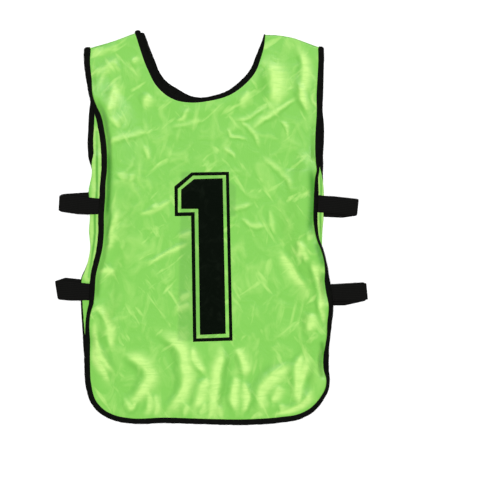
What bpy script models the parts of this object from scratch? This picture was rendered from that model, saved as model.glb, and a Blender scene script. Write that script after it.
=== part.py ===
# A training bib laid flat and seen from above: the front panel lies on the back panel.
# Both are the same cut, joined at the shoulders and by four elastic straps, with bound edges.
# Tables and sizes are in millimetres. +Y runs to the neck, +Z is up, the surface is at Z = 0.

import math

import bmesh
import bpy
import numpy as np
from mathutils.geometry import delaunay_2d_cdt

MM = 0.001

# Driving sizes
CLOTH = 1.0  # wall of a panel
TAPE = 1.4  # binding tape, folded round the edge
TAPE_WIDTH = 8.0
ELASTIC = 1.0
SEAM = 0.3  # gap between pieces that meet
SLACK = 0.1  # more of a gap where walls lean
BEND_SLACK = 0.85  # and where they bend round a fold
ROLL = 1.1  # middle radius where the back panel's edge rolls under
STRAP_ROLL = 0.8  # middle radius of a strap's outer fold

# How finely the solids are made
EDGE_STEP = 10.5
FRONT_SPACING = 14.0
BACK_SPACING = 24.0
EDGE_ROWS = (2.5, 7.0)  # rows of points beside the front's edges
FOLD_TURNS = 5  # rows of points round a half turn
ROW_CLEAR = 0.6  # they end this far before the cloth's edge
TAPE_LINES = 7  # lines of points along the back's tape, which follow a fold
STRAP_STEPS = (2, 3)  # sections of a strap, in each front stretch and under the back
SHARP = math.radians(50)

# Heights of the middle of each wall where it lies flat
BACK_LEVEL = CLOTH / 2
FRONT_LEVEL = CLOTH + SEAM + CLOTH / 2
TAPE_LEVEL = TAPE / 2
STRAP_LEVEL = ELASTIC / 2

# Where folds and leaning tape start and how far they take to fade out
LEAN_FROM = 7.3  # tape of which less than this shows leans down outward
LEAN_FADE = 0.8
FOLD_CLEAR = 4.0  # the front's folds start this far from its edge
FOLD_FADE = 14.0
LIFT_REACH = 20.0  # the back stays raised this far in from a rolled edge
LIFT_FADE = 25.0
TAPE_BENT = (1.5, 13.0)  # how much is rolled under where the tape is in the bend
CLOTH_BENT = (3.0, 14.0)  # the same for the cloth's edge

# The front's cloth edge from its left shoulder down to the hem. A row for each turn of the edge:
# seen is how much of the tape's width shows from above, low the height of the tape's outer edge,
# crest the height of the soft roll beside it, rise how far in that is, and fall how far it runs out.
FRONT_LEFT = (
    "x y seen low crest rise fall",
    [
        (-164.5, 246.5, 8.0, 2.4, 2.8, 8, 18),
        (-165.6, 230.0, 8.0, 2.6, 3.6, 8, 18),
        (-163.4, 202.7, 7.6, 2.6, 4.6, 8, 18),
        (-161.0, 179.4, 4.6, 2.6, 10.0, 8, 24),
        (-157.1, 168.4, 6.4, 2.6, 10.5, 8, 30),
        (-150.8, 154.7, 8.0, 2.6, 10.5, 8, 40),
        (-146.2, 134.2, 8.0, 2.6, 10.5, 8, 45),
        (-142.7, 106.8, 8.0, 3.6, 10.5, 8, 45),
        (-142.3, 95.0, 8.0, 4.4, 10.5, 8, 45),
        (-142.5, 79.4, 7.7, 4.4, 10.5, 8, 45),
        (-144.4, 58.8, 7.7, 4.8, 11.0, 8, 45),
        (-144.6, 45.1, 8.0, 5.6, 11.0, 8, 45),
        (-146.4, 17.7, 8.0, 5.6, 11.0, 8, 45),
        (-146.8, -9.7, 8.0, 4.6, 10.0, 8, 45),
        (-149.1, -30.2, 8.0, 4.6, 8.5, 9, 40),
        (-152.4, -43.9, 7.6, 4.8, 8.0, 9, 35),
        (-157.6, -65.8, 7.4, 6.0, 9.5, 8, 35),
        (-159.0, -88.0, 8.0, 6.0, 9.5, 7, 35),
        (-160.4, -103.0, 6.6, 5.8, 10.8, 7, 35),
        (-165.0, -119.3, 4.8, 4.8, 11.8, 7, 40),
        (-166.1, -133.0, 5.4, 4.6, 11.2, 8, 40),
        (-165.4, -153.5, 7.1, 4.6, 8.0, 8, 40),
        (-165.6, -174.0, 8.0, 4.4, 6.0, 10, 40),
        (-165.6, -190.0, 8.0, 2.8, 4.6, 10, 35),
    ],
)

# The same round the hem, from left to right
FRONT_HEM = (
    "x y seen low crest rise fall",
    [
        (-164.2, -213.0, 8.0, 2.4, 3.8, 10, 30),
        (-157.3, -237.0, 7.6, 2.4, 3.2, 10, 25),
        (-145.7, -249.4, 7.3, 2.4, 2.8, 10, 25),
        (-131.7, -256.3, 7.3, 2.4, 2.6, 10, 25),
        (-111.3, -260.2, 7.4, 2.4, 2.6, 10, 25),
        (-63.4, -259.4, 7.8, 2.4, 2.6, 10, 25),
        (-15.4, -260.9, 7.6, 2.4, 2.6, 10, 25),
        (53.1, -261.6, 8.0, 2.4, 2.6, 10, 25),
        (94.2, -258.7, 8.0, 2.4, 2.6, 10, 25),
        (121.6, -253.9, 7.3, 2.4, 2.8, 10, 25),
        (135.3, -246.3, 6.8, 2.4, 5.6, 10, 25),
        (149.0, -231.5, 5.4, 2.4, 8.8, 9, 25),
        (155.8, -219.0, 4.5, 2.4, 9.4, 9, 25),
    ],
)

# And up the right side to the right shoulder
FRONT_RIGHT = (
    "x y seen low crest rise fall",
    [
        (157.2, -208.0, 4.0, 2.4, 9.8, 9, 25),
        (153.8, -194.6, 7.6, 2.6, 9.0, 9, 25),
        (153.5, -174.1, 7.8, 2.6, 9.5, 7, 30),
        (155.8, -160.4, 5.0, 2.6, 10.0, 8, 35),
        (157.9, -146.7, 4.4, 2.6, 10.5, 8, 35),
        (158.3, -131.0, 6.4, 2.8, 9.5, 9, 35),
        (160.2, -106.9, 6.3, 4.6, 10.8, 9, 35),
        (157.0, -88.0, 8.0, 6.1, 9.5, 9, 35),
        (154.8, -72.0, 7.6, 5.6, 10.0, 9, 35),
        (155.3, -57.6, 3.8, 4.4, 13.0, 9, 40),
        (154.0, -43.9, 1.9, 4.4, 14.0, 9, 45),
        (150.1, -30.2, 2.6, 4.4, 14.0, 9, 45),
        (144.5, -16.5, 2.6, 4.4, 13.8, 8, 45),
        (141.2, -2.8, 4.2, 4.6, 13.0, 8, 45),
        (139.5, 10.9, 5.2, 5.4, 12.8, 8, 45),
        (139.7, 31.4, 6.0, 5.6, 12.5, 8, 45),
        (140.5, 52.0, 6.0, 5.0, 12.0, 8, 45),
        (141.9, 68.0, 3.6, 4.2, 12.2, 8, 40),
        (144.1, 79.4, 2.4, 4.2, 12.4, 8, 35),
        (142.8, 89.0, 5.5, 4.2, 11.0, 8, 30),
        (142.3, 99.9, 8.0, 2.9, 6.5, 8, 30),
        (142.7, 134.2, 8.0, 2.6, 4.6, 8, 30),
        (144.1, 156.0, 8.0, 2.6, 4.0, 8, 28),
        (144.0, 182.0, 8.0, 2.6, 4.2, 8, 28),
        (145.4, 208.0, 8.0, 2.6, 3.8, 8, 28),
        (146.4, 230.1, 8.0, 2.5, 3.2, 8, 22),
        (146.1, 247.6, 8.0, 2.4, 2.6, 8, 18),
    ],
)

# The shoulder seams, and the cloth's edge round the neck, right to left
SHOULDER_RIGHT = ("x y", [(146.1, 247.6), (128.4, 254.3), (113.0, 259.8), (97.0, 262.9), (74.1, 264.4)])
SHOULDER_LEFT = ("x y", [(-104.6, 266.4), (-138.7, 254.1), (-164.5, 246.5)])
FRONT_NECK = (
    "x y seen low crest rise fall",
    [
        (74.1, 264.4, 1.8, 2.4, 2.4, 8, 18),
        (72.7, 249.4, 5.5, 2.4, 2.6, 8, 18),
        (68.0, 232.0, 7.7, 2.4, 2.8, 8, 18),
        (61.3, 214.5, 8.0, 2.4, 3.0, 8, 20),
        (44.7, 194.9, 8.0, 2.4, 3.0, 8, 20),
        (26.5, 182.3, 7.0, 2.4, 2.8, 8, 20),
        (-1.4, 173.9, 6.0, 2.4, 2.6, 8, 20),
        (-30.5, 171.5, 7.0, 2.4, 2.6, 8, 20),
        (-46.2, 173.9, 8.0, 2.4, 2.6, 8, 20),
        (-62.0, 181.7, 8.0, 2.4, 2.6, 8, 20),
        (-76.2, 195.8, 8.0, 2.4, 2.6, 8, 20),
        (-86.4, 215.0, 8.0, 2.4, 2.6, 8, 18),
        (-104.6, 266.4, 8.0, 2.4, 2.4, 8, 18),
    ],
)

# The back's outline as it shows or lies under the front, top to bottom. tuck is how much of the
# edge is rolled under, and lift how far the edge is raised by a strap below it.
BACK_LEFT = (
    "x y tuck lift",
    [
        (-172.9, 246.8, 0, 0),
        (-172.0, 215.0, 0, 0),
        (-167.5, 192.0, 0, 0),
        (-165.4, 178.0, 0, 0),
        (-167.1, 161.6, 0, 0),
        (-168.6, 136.0, 0, 0),
        (-169.1, 106.8, 0, 0),
        (-166.8, 93.1, 5, 0),
        (-163.4, 81.0, 10.5, 0),
        (-163.5, 72.5, 13, 0),
        (-166.1, 60.0, 15, 0),
        (-167.5, 51.5, 16, 1.3),
        (-166.5, 38.0, 16, 1.3),
        (-166.0, 25.0, 16, 1.3),
        (-165.9, 14.0, 15.5, 0),
        (-167.2, -2.8, 15, 0),
        (-165.6, -28.0, 13, 0),
        (-168.2, -43.9, 10.5, 0),
        (-172.4, -57.0, 9.5, 0),
        (-176.5, -66.0, 9, 1.3),
        (-178.3, -82.0, 8.2, 1.3),
        (-178.0, -98.0, 7.4, 1.3),
        (-177.6, -110.0, 7.1, 0),
        (-175.3, -146.7, 6.8, 0),
        (-174.7, -160.4, 5.5, 0),
        (-173.0, -183.0, 0, 0),
        (-171.6, -202.0, 0, 0),
    ],
)
BACK_HEM = (
    "x y",
    [
        (-168.6, -222.0),
        (-162.6, -240.0),
        (-149.5, -254.5),
        (-133.0, -261.6),
        (-111.0, -265.4),
        (-63.0, -265.4),
        (-15.0, -266.4),
        (53.0, -267.6),
        (94.0, -264.5),
        (122.0, -258.6),
        (135.6, -250.5),
        (145.0, -241.5),
        (152.0, -231.0),
        (156.8, -219.0),
    ],
)

# The same on the right, bottom to top
BACK_RIGHT = (
    "x y tuck lift",
    [
        (157.8, -206.0, 0, 0),
        (158.5, -187.8, 0, 0),
        (157.8, -160.4, 0, 0),
        (160.5, -133.0, 0, 0),
        (161.5, -119.0, 0, 0),
        (161.5, -108.0, 0, 1.3),
        (160.5, -96.0, 0, 1.3),
        (159.5, -82.0, 1, 1.3),
        (156.0, -68.0, 4, 0),
        (153.0, -47.0, 8, 0),
        (151.8, -30.0, 10.5, 0),
        (151.6, -16.5, 12, 0),
        (152.3, -1.0, 13, 0),
        (153.4, 12.0, 13, 1.3),
        (153.6, 28.0, 13, 1.3),
        (153.8, 40.0, 13, 1.3),
        (153.8, 53.0, 12, 0),
        (152.7, 64.0, 10, 0),
        (152.4, 72.5, 8, 0),
        (152.6, 81.0, 6, 0),
        (153.0, 89.0, 3, 0),
        (153.3, 98.5, 0, 0),
        (154.5, 120.0, 0, 0),
        (154.5, 141.0, 0, 0),
        (152.6, 162.0, 0, 0),
        (153.3, 180.0, 0, 0),
        (154.0, 210.0, 0, 0),
        (154.5, 247.0, 0, 0),
    ],
)
BACK_NECK = (
    "x y seen",
    [
        (75.0, 264.3, 1.8),
        (74.5, 249.0, 5.0),
        (70.0, 231.0, 7.0),
        (63.2, 213.5, 8.0),
        (46.8, 192.9, 8.0),
        (28.0, 180.0, 8.0),
        (-1.0, 171.2, 8.0),
        (-16.4, 170.6, 8.0),
        (-33.2, 174.2, 8.0),
        (-49.9, 183.4, 8.0),
        (-69.7, 197.6, 8.0),
        (-76.9, 207.8, 8.0),
        (-85.1, 226.9, 8.0),
        (-99.8, 265.2, 8.0),
    ],
)

# Soft folds in the front: the points along each, its half width and its height
FOLDS = [
    ([(-73, -142), (-47, -166), (-40, -196), (-43, -225), (-61, -249)], 9, 3.0),
    ([(-120, -171), (-85, -203), (-106, -228)], 9, 2.4),
    ([(-151, -112), (-144, -134), (-137, -166)], 8, 2.0),
    ([(-5, -200), (-16, -225), (-21, -240)], 8, 2.0),
    ([(18, -159), (16, -182), (9, -225), (8, -252)], 9, 2.8),
    ([(33, -168), (45, -193), (53, -225), (46, -247)], 9, 2.8),
    ([(104, -188), (75, -206), (64, -225), (67, -252)], 9, 2.8),
    ([(126, -168), (116, -188), (115, -232)], 8, 2.2),
    ([(137, -174), (127, -211), (122, -244)], 8, 2.0),
    ([(105, 237), (89, 203), (87, 153)], 12, 2.6),
    ([(87, 153), (118, 174)], 8, 2.0),
    ([(122, 244), (117, 215), (123, 190), (117, 159)], 8, 2.0),
    ([(-122, 240), (-156, 222)], 8, 1.8),
    ([(-122, 217), (-154, 190)], 8, 1.8),
    ([(96, -28), (112, -55), (130, -84)], 10, 2.0),
    ([(-52, 37), (-95, 19)], 10, 1.6),
    ([(-28, -18), (-88, -45)], 10, 1.6),
]

# Straps: sections from the front's edge to the outer fold, the fold, and sections under the back.
# Columns: x_top y_top x_bottom y_bottom height; the fold has no height
STRAPS = {
    "strap_upper_left": {
        "front": [
            (-154.0, 40.4, -155.4, 18.8, 5.6),
            (-169.5, 42.0, -170.0, 18.2, 5.5),
            (-182.0, 43.5, -183.0, 18.8, 4.4),
            (-206.0, 45.8, -207.0, 22.8, 2.1),
        ],
        "fold": (-207.9, 45.8, -209.3, 22.5),
        "back": [(-199.0, 47.0, -199.5, 24.6, 0.5), (-160.5, 49.4, -160.5, 27.2, 0.5)],
    },
    "strap_lower_left": {
        "front": [
            (-167.8, -76.0, -168.6, -99.0, 6.0),
            (-181.0, -74.6, -181.5, -99.4, 5.8),
            (-192.0, -73.4, -193.0, -99.4, 4.6),
            (-212.0, -72.4, -209.5, -98.2, 2.1),
        ],
        "fold": (-214.3, -72.3, -210.2, -98.0),
        "back": [(-200.0, -68.0, -198.0, -91.0, 0.5), (-172.5, -70.8, -171.5, -93.4, 0.5)],
    },
    "strap_upper_right": {
        "front": [
            (148.1, 44.8, 147.4, 21.2, 5.6),
            (155.8, 43.9, 155.6, 20.6, 5.4),
            (168.0, 43.4, 168.0, 19.8, 4.4),
            (200.2, 41.0, 198.6, 17.2, 2.1),
        ],
        "fold": (202.3, 39.8, 199.8, 16.6),
        "back": [(180.0, 36.4, 179.7, 13.9, 0.5), (147.5, 38.0, 147.0, 15.4, 0.5)],
    },
    "strap_lower_right": {
        "front": [
            (166.6, -76.8, 167.6, -100.2, 6.1),
            (176.0, -76.2, 176.5, -100.2, 5.2),
            (210.0, -74.4, 212.6, -99.4, 2.1),
        ],
        "fold": (212.3, -74.2, 214.8, -99.4),
        "back": [(184.0, -83.6, 183.0, -106.2, 0.5), (154.5, -84.0, 154.5, -106.4, 0.5)],
    },
}

# Colours, roughness and sheen as they look in daylight
CLOTH_LOOK = {"color": (0.27, 0.74, 0.13, 1.0), "roughness": 0.42}
TAPE_LOOK = {"color": (0.010, 0.010, 0.011, 1.0), "roughness": 0.75}
ELASTIC_LOOK = {"color": (0.012, 0.012, 0.012, 1.0), "roughness": 0.85}


def clear_scene():
    for thing in list(bpy.data.objects):
        bpy.data.objects.remove(thing, do_unlink=True)


def material(name, color, roughness):
    made = bpy.data.materials.new(name)
    made.use_nodes = True
    made.diffuse_color = color
    shader = made.node_tree.nodes["Principled BSDF"]
    shader.inputs["Base Color"].default_value = color
    shader.inputs["Roughness"].default_value = roughness
    shader.inputs["Metallic"].default_value = 0.0
    return made


def smooth(t):
    t = np.clip(t, 0.0, 1.0)
    return t * t * (3.0 - 2.0 * t)


def columns(table):
    names, rows = table
    return dict(zip(names.split(), np.array(rows, float).T))


def stations(rows):
    """Even stations on a smooth curve through x and y; other columns run straight between rows."""
    corners = np.column_stack([rows["x"], rows["y"]])
    along = np.r_[0.0, np.cumsum(np.hypot(*np.diff(corners, axis=0).T))]
    slope = np.gradient(corners, along, axis=0)
    at = np.linspace(0.0, along[-1], round(along[-1] / EDGE_STEP) + 1)
    k = np.clip(np.searchsorted(along, at, "right") - 1, 0, len(along) - 2)
    span = (along[k + 1] - along[k])[:, None]
    t = (at - along[k])[:, None] / span
    curve = (
        (2 * t**3 - 3 * t**2 + 1) * corners[k]
        + (t**3 - 2 * t**2 + t) * span * slope[k]
        + (3 * t**2 - 2 * t**3) * corners[k + 1]
        + (t**3 - t**2) * span * slope[k + 1]
    )
    made = {name: np.interp(at, along, values) for name, values in rows.items()}
    made["x"], made["y"] = curve.T
    return made


def joined(*tables):
    names = tables[0][0]
    rows = [row for table in tables for row in table[1]]
    return names, rows


def points_of(made):
    return np.column_stack([made["x"], made["y"]])


def outward(line):
    """Unit normals on the right of the line, which is outside for an outline run anticlockwise."""
    run = np.gradient(line, axis=0)
    run /= np.hypot(*run.T)[:, None]
    return np.column_stack([run[:, 1], -run[:, 0]])


def inside(points, outline):
    """Whether each point is inside the closed outline."""
    found = np.zeros(len(points), bool)
    ends = np.roll(outline, -1, axis=0)
    for (x0, y0), (x1, y1) in zip(outline, ends):
        if y0 == y1:
            continue
        level = (y0 > points[:, 1]) != (y1 > points[:, 1])
        crossing = x0 + (points[:, 1] - y0) * (x1 - x0) / (y1 - y0)
        found ^= level & (points[:, 0] < crossing)
    return found


def nearest(points, line):
    """Distance to the nearest point of the line, and that point's number."""
    gaps = np.hypot(points[:, :1] - line[:, 0], points[:, 1:] - line[:, 1])
    number = gaps.argmin(axis=1)
    return gaps[np.arange(len(points)), number], number


def honeycomb(outline, spacing, keep_off, clear):
    """Evenly spread points inside the outline, clear of it and of the keep_off points."""
    low = outline.min(axis=0)
    high = outline.max(axis=0)
    spots = []
    row_gap = spacing * math.sqrt(3) / 2
    for row in range(int((high[1] - low[1]) / row_gap) + 1):
        start = low[0] + (row % 2) * spacing / 2
        for x in np.arange(start, high[0], spacing):
            spots.append((x, low[1] + row * row_gap))
    spots = np.array(spots)
    spots = spots[inside(spots, outline)]
    gap, _ = nearest(spots, np.vstack([outline, keep_off]))
    return spots[gap > clear]


def triangulated(outline, rows, spots):
    """Points and triangles inside the outline; rows are lists of points joined by edges."""
    points = list(map(tuple, outline))
    edges = [(i, (i + 1) % len(outline)) for i in range(len(outline))]
    for row in rows:
        first = len(points)
        points += list(map(tuple, row))
        edges += [(first + i, first + i + 1) for i in range(len(row) - 1)]
    points += list(map(tuple, spots))
    made = delaunay_2d_cdt(points, edges, [], 0, 1e-4, False)
    spots = np.array([tuple(point) for point in made[0]])
    faces = np.array([tuple(face) for face in made[2]])
    faces = faces[inside(spots[faces].mean(axis=1), outline)]
    return spots, [tuple(map(int, face)) for face in faces]


def solid(name, points, faces, thickness, look, collection):
    """An object whose wall is built about the middle surface given, in millimetres."""
    mesh = bpy.data.meshes.new(name)
    mesh.from_pydata([tuple(point * MM) for point in points], [], faces)
    work = bmesh.new()
    work.from_mesh(mesh)
    bmesh.ops.recalc_face_normals(work, faces=work.faces)
    work.faces.ensure_lookup_table()
    if sum(face.normal.z for face in work.faces) < 0:
        bmesh.ops.reverse_faces(work, faces=work.faces)
    work.to_mesh(mesh)
    work.free()
    mesh.materials.append(look)
    mesh.shade_smooth()
    mesh.set_sharp_from_angle(angle=SHARP)
    made = bpy.data.objects.new(name, mesh)
    collection.objects.link(made)
    wall = made.modifiers.new("wall", "SOLIDIFY")
    wall.thickness = thickness * MM
    wall.offset = 0.0
    return made


def ribbon(name, lines, thickness, look, collection):
    """A strip through lines of points that run side by side."""
    lines = np.array(lines)
    count, length = lines.shape[:2]
    faces = [
        (i * length + j, i * length + j + 1, (i + 1) * length + j + 1, (i + 1) * length + j)
        for i in range(count - 1)
        for j in range(length - 1)
    ]
    return solid(name, lines.reshape(-1, 3), faces, thickness, look, collection)


def front_edge(table, leans):
    """Stations along a bound edge of the front, with how far the tape hangs down where it leans."""
    rows = columns(table)
    drop = np.sqrt(np.maximum(TAPE_WIDTH**2 - rows["seen"] ** 2, 0.0))
    rows["hang"] = drop * smooth((LEAN_FROM - rows["seen"]) / LEAN_FADE) * leans
    return stations(rows)


def roll_height(made, x, y, flat):
    """Height of the front near bound edges: it climbs from the edge to a crest and runs out again."""
    gap, k = nearest(np.column_stack([x, y]), points_of(made))
    edge = made["low"][k] + made["hang"][k]
    climb = edge + (made["crest"][k] - edge) * smooth(gap / made["rise"][k])
    out = smooth((gap - made["rise"][k]) / made["fall"][k])
    decline = flat + (made["crest"][k] - flat) * (1.0 - out)
    return np.where(gap < made["rise"][k], climb, decline), gap


def fold_height(x, y, points, width, height):
    """A soft ridge along a run of straight stretches, rounded at both ends."""
    best = np.full(len(x), np.inf)
    for (x0, y0), (x1, y1) in zip(points, points[1:]):
        run = np.array([x1 - x0, y1 - y0], float)
        part = np.clip(((x - x0) * run[0] + (y - y0) * run[1]) / run.dot(run), 0.0, 1.0)
        best = np.minimum(best, np.hypot(x - x0 - part * run[0], y - y0 - part * run[1]))
    return height * np.exp(-((best / width) ** 2))


def front_height(edge, x, y):
    height, gap = roll_height(edge, x, y, FRONT_LEVEL)
    folds = sum(fold_height(x, y, *fold) for fold in FOLDS)
    return height + folds * smooth((gap - FOLD_CLEAR) / FOLD_FADE)


def front_tape_lines(made):
    """The two long edges of the tape round the front."""
    line = points_of(made)
    normal = outward(line)
    gap = SEAM + SLACK + TAPE / 2 * made["hang"] / TAPE_WIDTH
    inner = line + normal * gap[:, None]
    outer = inner + normal * made["seen"][:, None]
    return [
        np.column_stack([inner, made["low"] + made["hang"]]),
        np.column_stack([outer, made["low"]]),
    ]


def make_front(looks, collection):
    side = front_edge(joined(FRONT_LEFT, FRONT_HEM, FRONT_RIGHT), True)
    neck = front_edge(FRONT_NECK, False)
    right = points_of(stations(columns(SHOULDER_RIGHT)))
    left = points_of(stations(columns(SHOULDER_LEFT)))
    outline = np.vstack([points_of(side), right[1:-1], points_of(neck), left[1:-1]])
    edge = {name: np.r_[side[name], neck[name]] for name in side}

    inner_rows = []
    for gap in EDGE_ROWS:
        for made in (side, neck):
            line = points_of(made) - outward(points_of(made)) * gap
            inner_rows.append(line[3:-3])
    spots = honeycomb(outline, FRONT_SPACING, np.vstack(inner_rows), 0.55 * FRONT_SPACING)
    points, faces = triangulated(outline, inner_rows, spots)
    height = front_height(edge, points[:, 0], points[:, 1])
    solid("front_panel", np.column_stack([points, height]), faces, CLOTH, looks["cloth"], collection)

    tape = looks["tape"]
    ribbon("front_edge_binding", front_tape_lines(side), TAPE, tape, collection)
    ribbon("front_neck_binding", front_tape_lines(neck), TAPE, tape, collection)


class RolledSide:
    """One side of the back panel, with the edge rolled under where tuck is over 0."""

    def __init__(self, table, sign):
        made = stations(columns(table))
        order = np.argsort(made["y"])
        self.sign = sign
        self.y = made["y"][order]
        self.tuck = made["tuck"][order]
        self.lift = made["lift"][order]
        turn = np.minimum(self.tuck / ROLL, math.pi / 2)
        self.bend = made["x"][order] - sign * ROLL * np.sin(turn)
        self.order = order

    def at(self, y):
        bend = np.interp(y, self.y, self.bend)
        tuck = np.interp(y, self.y, self.tuck)
        lift = np.interp(y, self.y, self.lift)
        return bend, tuck, lift

    def flat_edge(self):
        """The outer edge of the tape as if it were unrolled, in the table's order."""
        return self.in_order(np.column_stack([self.bend + self.sign * self.tuck, self.y]))

    def in_order(self, values):
        return values[np.argsort(self.order)]

    def laid(self, x, y, base):
        bend, tuck, lift = self.at(y)
        past = self.sign * (x - bend)
        turned = np.clip(past / ROLL, 0.0, math.pi)
        end = np.minimum(tuck / ROLL, math.pi)
        under = np.maximum(past - math.pi * ROLL, 0.0)
        rolled_x = bend + self.sign * (ROLL * np.sin(turned) - under)
        rolled_z = base + lift + ROLL * (np.cos(turned) - np.cos(end))
        inward = 1.0 - smooth((-past - LIFT_REACH) / LIFT_FADE)
        flat_z = base + (lift + ROLL * (1.0 - np.cos(end))) * inward
        on_top = past <= 0.0
        return np.where(on_top, x, rolled_x), np.maximum(np.where(on_top, flat_z, rolled_z), base)


def laid_back(sides, points, base):
    """Where points of the unrolled back lie once its edges are rolled under."""
    x, y = points.T
    x_left, z_left = sides[0].laid(x, y, base)
    x_right, z_right = sides[1].laid(x, y, base)
    is_left = x < 0.0
    return np.column_stack([np.where(is_left, x_left, x_right), y, np.where(is_left, z_left, z_right)])


def bent(tucks, fade, end):
    """1 where so much is rolled under that an edge lies in the bend, 0 where it lies flat."""
    return smooth(tucks / fade) * smooth((end - tucks) / fade)


def back_tape_lines(outer, tucks):
    """Lines along the tape, closer together where the tape rolls round a fold."""
    normal = outward(outer)
    start = np.clip(tucks - math.pi * ROLL, 0.5, TAPE_WIDTH - 1.7)
    end = np.clip(tucks, 1.7, TAPE_WIDTH - 0.5)
    folded = bent(tucks, *TAPE_BENT)
    lines = []
    for i in range(TAPE_LINES):
        even = np.full(len(tucks), TAPE_WIDTH * i / (TAPE_LINES - 1))
        if 0 < i < TAPE_LINES - 1:
            close = start + (end - start) * (i - 1) / (TAPE_LINES - 3)
            even = even + (close - even) * folded
        lines.append(outer - normal * even[:, None])
    return lines


def make_back(looks, collection):
    sides = (RolledSide(BACK_LEFT, -1), RolledSide(BACK_RIGHT, 1))
    hem = points_of(stations(columns(BACK_HEM)))
    outer = np.vstack([sides[0].flat_edge(), hem, sides[1].flat_edge()])
    neck_made = stations(columns(BACK_NECK))
    neck = points_of(neck_made)

    tucks = np.r_[sides[0].in_order(sides[0].tuck), np.zeros(len(hem)), sides[1].in_order(sides[1].tuck)]
    margin = TAPE_WIDTH + SEAM + SLACK + BEND_SLACK * bent(tucks, *CLOTH_BENT)
    cloth_edge = outer - outward(outer) * margin[:, None]
    right = points_of(stations(columns(SHOULDER_RIGHT)))
    left = points_of(stations(columns(SHOULDER_LEFT)))
    cloth_edge[0] = left[-1]
    cloth_edge[-1] = right[0]
    outline = np.vstack([cloth_edge, right[1:-1], neck, left[1:-1]])

    rows = []
    for side in sides:
        reach = side.tuck - TAPE_WIDTH - SEAM - ROW_CLEAR
        for turn in np.linspace(0.0, math.pi, FOLD_TURNS):
            keep = reach > turn * ROLL
            if keep.sum() > 2:
                x = side.bend + side.sign * turn * ROLL
                rows.append(np.column_stack([x, side.y])[keep])
        x = side.bend - side.sign * (LIFT_REACH + 1.0)
        rows.append(np.column_stack([x, side.y])[3:-3])
    spots = honeycomb(outline, BACK_SPACING, np.vstack(rows), 0.6 * BACK_SPACING)
    points, faces = triangulated(outline, rows, spots)
    laid = laid_back(sides, points, BACK_LEVEL)
    solid("back_panel", laid, faces, CLOTH, looks["cloth"], collection)

    lines = [laid_back(sides, line, TAPE_LEVEL) for line in back_tape_lines(outer, tucks)]
    ribbon("back_edge_binding", lines, TAPE, looks["tape"], collection)

    normal = outward(neck)
    inner = neck + normal * (SEAM + SLACK)
    far = inner + normal * neck_made["seen"][:, None]
    level = np.full(len(neck), TAPE_LEVEL)
    lines = [np.column_stack([inner, level]), np.column_stack([far, level])]
    ribbon("back_neck_binding", lines, TAPE, looks["tape"], collection)


def strap_side(rows, steps):
    """Even sections between the rows of one layer: top edge points and bottom edge points."""
    rows = np.array(rows, float)
    at = np.linspace(0, len(rows) - 1, steps + 1)
    made = np.column_stack([np.interp(at, range(len(rows)), column) for column in rows.T])
    return made[:, [0, 1, 4]], made[:, [2, 3, 4]]


def make_strap(name, rows, looks, collection):
    fold = np.array(rows["fold"], float)
    sign = math.copysign(1.0, fold[0])
    front_top, front_bottom = strap_side(rows["front"], STRAP_STEPS[0] * (len(rows["front"]) - 1))
    back_top, back_bottom = strap_side(rows["back"], STRAP_STEPS[1])
    turn_top = []
    turn_bottom = []
    for turn in np.linspace(0.0, math.pi, FOLD_TURNS):
        reach = sign * (STRAP_ROLL * math.sin(turn) - STRAP_ROLL - ELASTIC / 2)
        height = STRAP_LEVEL + STRAP_ROLL * (1.0 + math.cos(turn))
        turn_top.append((fold[0] + reach, fold[1], height))
        turn_bottom.append((fold[2] + reach, fold[3], height))
    top = np.vstack([front_top[:-1], turn_top, back_top])
    bottom = np.vstack([front_bottom[:-1], turn_bottom, back_bottom])
    ribbon(name, [top, bottom], ELASTIC, looks["elastic"], collection)


def main():
    clear_scene()
    collection = bpy.data.collections.new("training_bib")
    bpy.context.scene.collection.children.link(collection)
    looks = {
        "cloth": material("lime_cloth", **CLOTH_LOOK),
        "tape": material("black_tape", **TAPE_LOOK),
        "elastic": material("black_elastic", **ELASTIC_LOOK),
    }
    make_front(looks, collection)
    make_back(looks, collection)
    for name, rows in STRAPS.items():
        make_strap(name, rows, looks, collection)


main()
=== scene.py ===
import math

import bpy
import numpy as np
from mathutils.geometry import delaunay_2d_cdt
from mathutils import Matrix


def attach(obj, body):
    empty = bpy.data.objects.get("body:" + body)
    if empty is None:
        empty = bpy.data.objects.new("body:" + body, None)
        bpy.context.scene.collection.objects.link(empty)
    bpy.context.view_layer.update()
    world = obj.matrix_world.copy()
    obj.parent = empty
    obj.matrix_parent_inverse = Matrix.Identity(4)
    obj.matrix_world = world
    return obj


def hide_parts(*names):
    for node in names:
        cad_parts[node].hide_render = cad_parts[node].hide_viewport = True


# A training bib laid flat: the front panel lies on the back panel, seen from straight above.
# All sizes are in millimetres and are turned to metres when a mesh is made.
# +Y runs to the neck and +X to the right of someone who looks down on the front.

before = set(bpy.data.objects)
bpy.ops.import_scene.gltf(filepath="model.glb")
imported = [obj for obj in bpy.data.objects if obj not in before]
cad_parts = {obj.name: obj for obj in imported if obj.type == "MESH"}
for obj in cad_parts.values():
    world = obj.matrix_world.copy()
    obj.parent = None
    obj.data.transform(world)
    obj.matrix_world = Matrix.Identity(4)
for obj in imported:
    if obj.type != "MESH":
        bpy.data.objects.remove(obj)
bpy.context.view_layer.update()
millimetre = 0.001
print("bib: the CAD frame is in")


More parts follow.
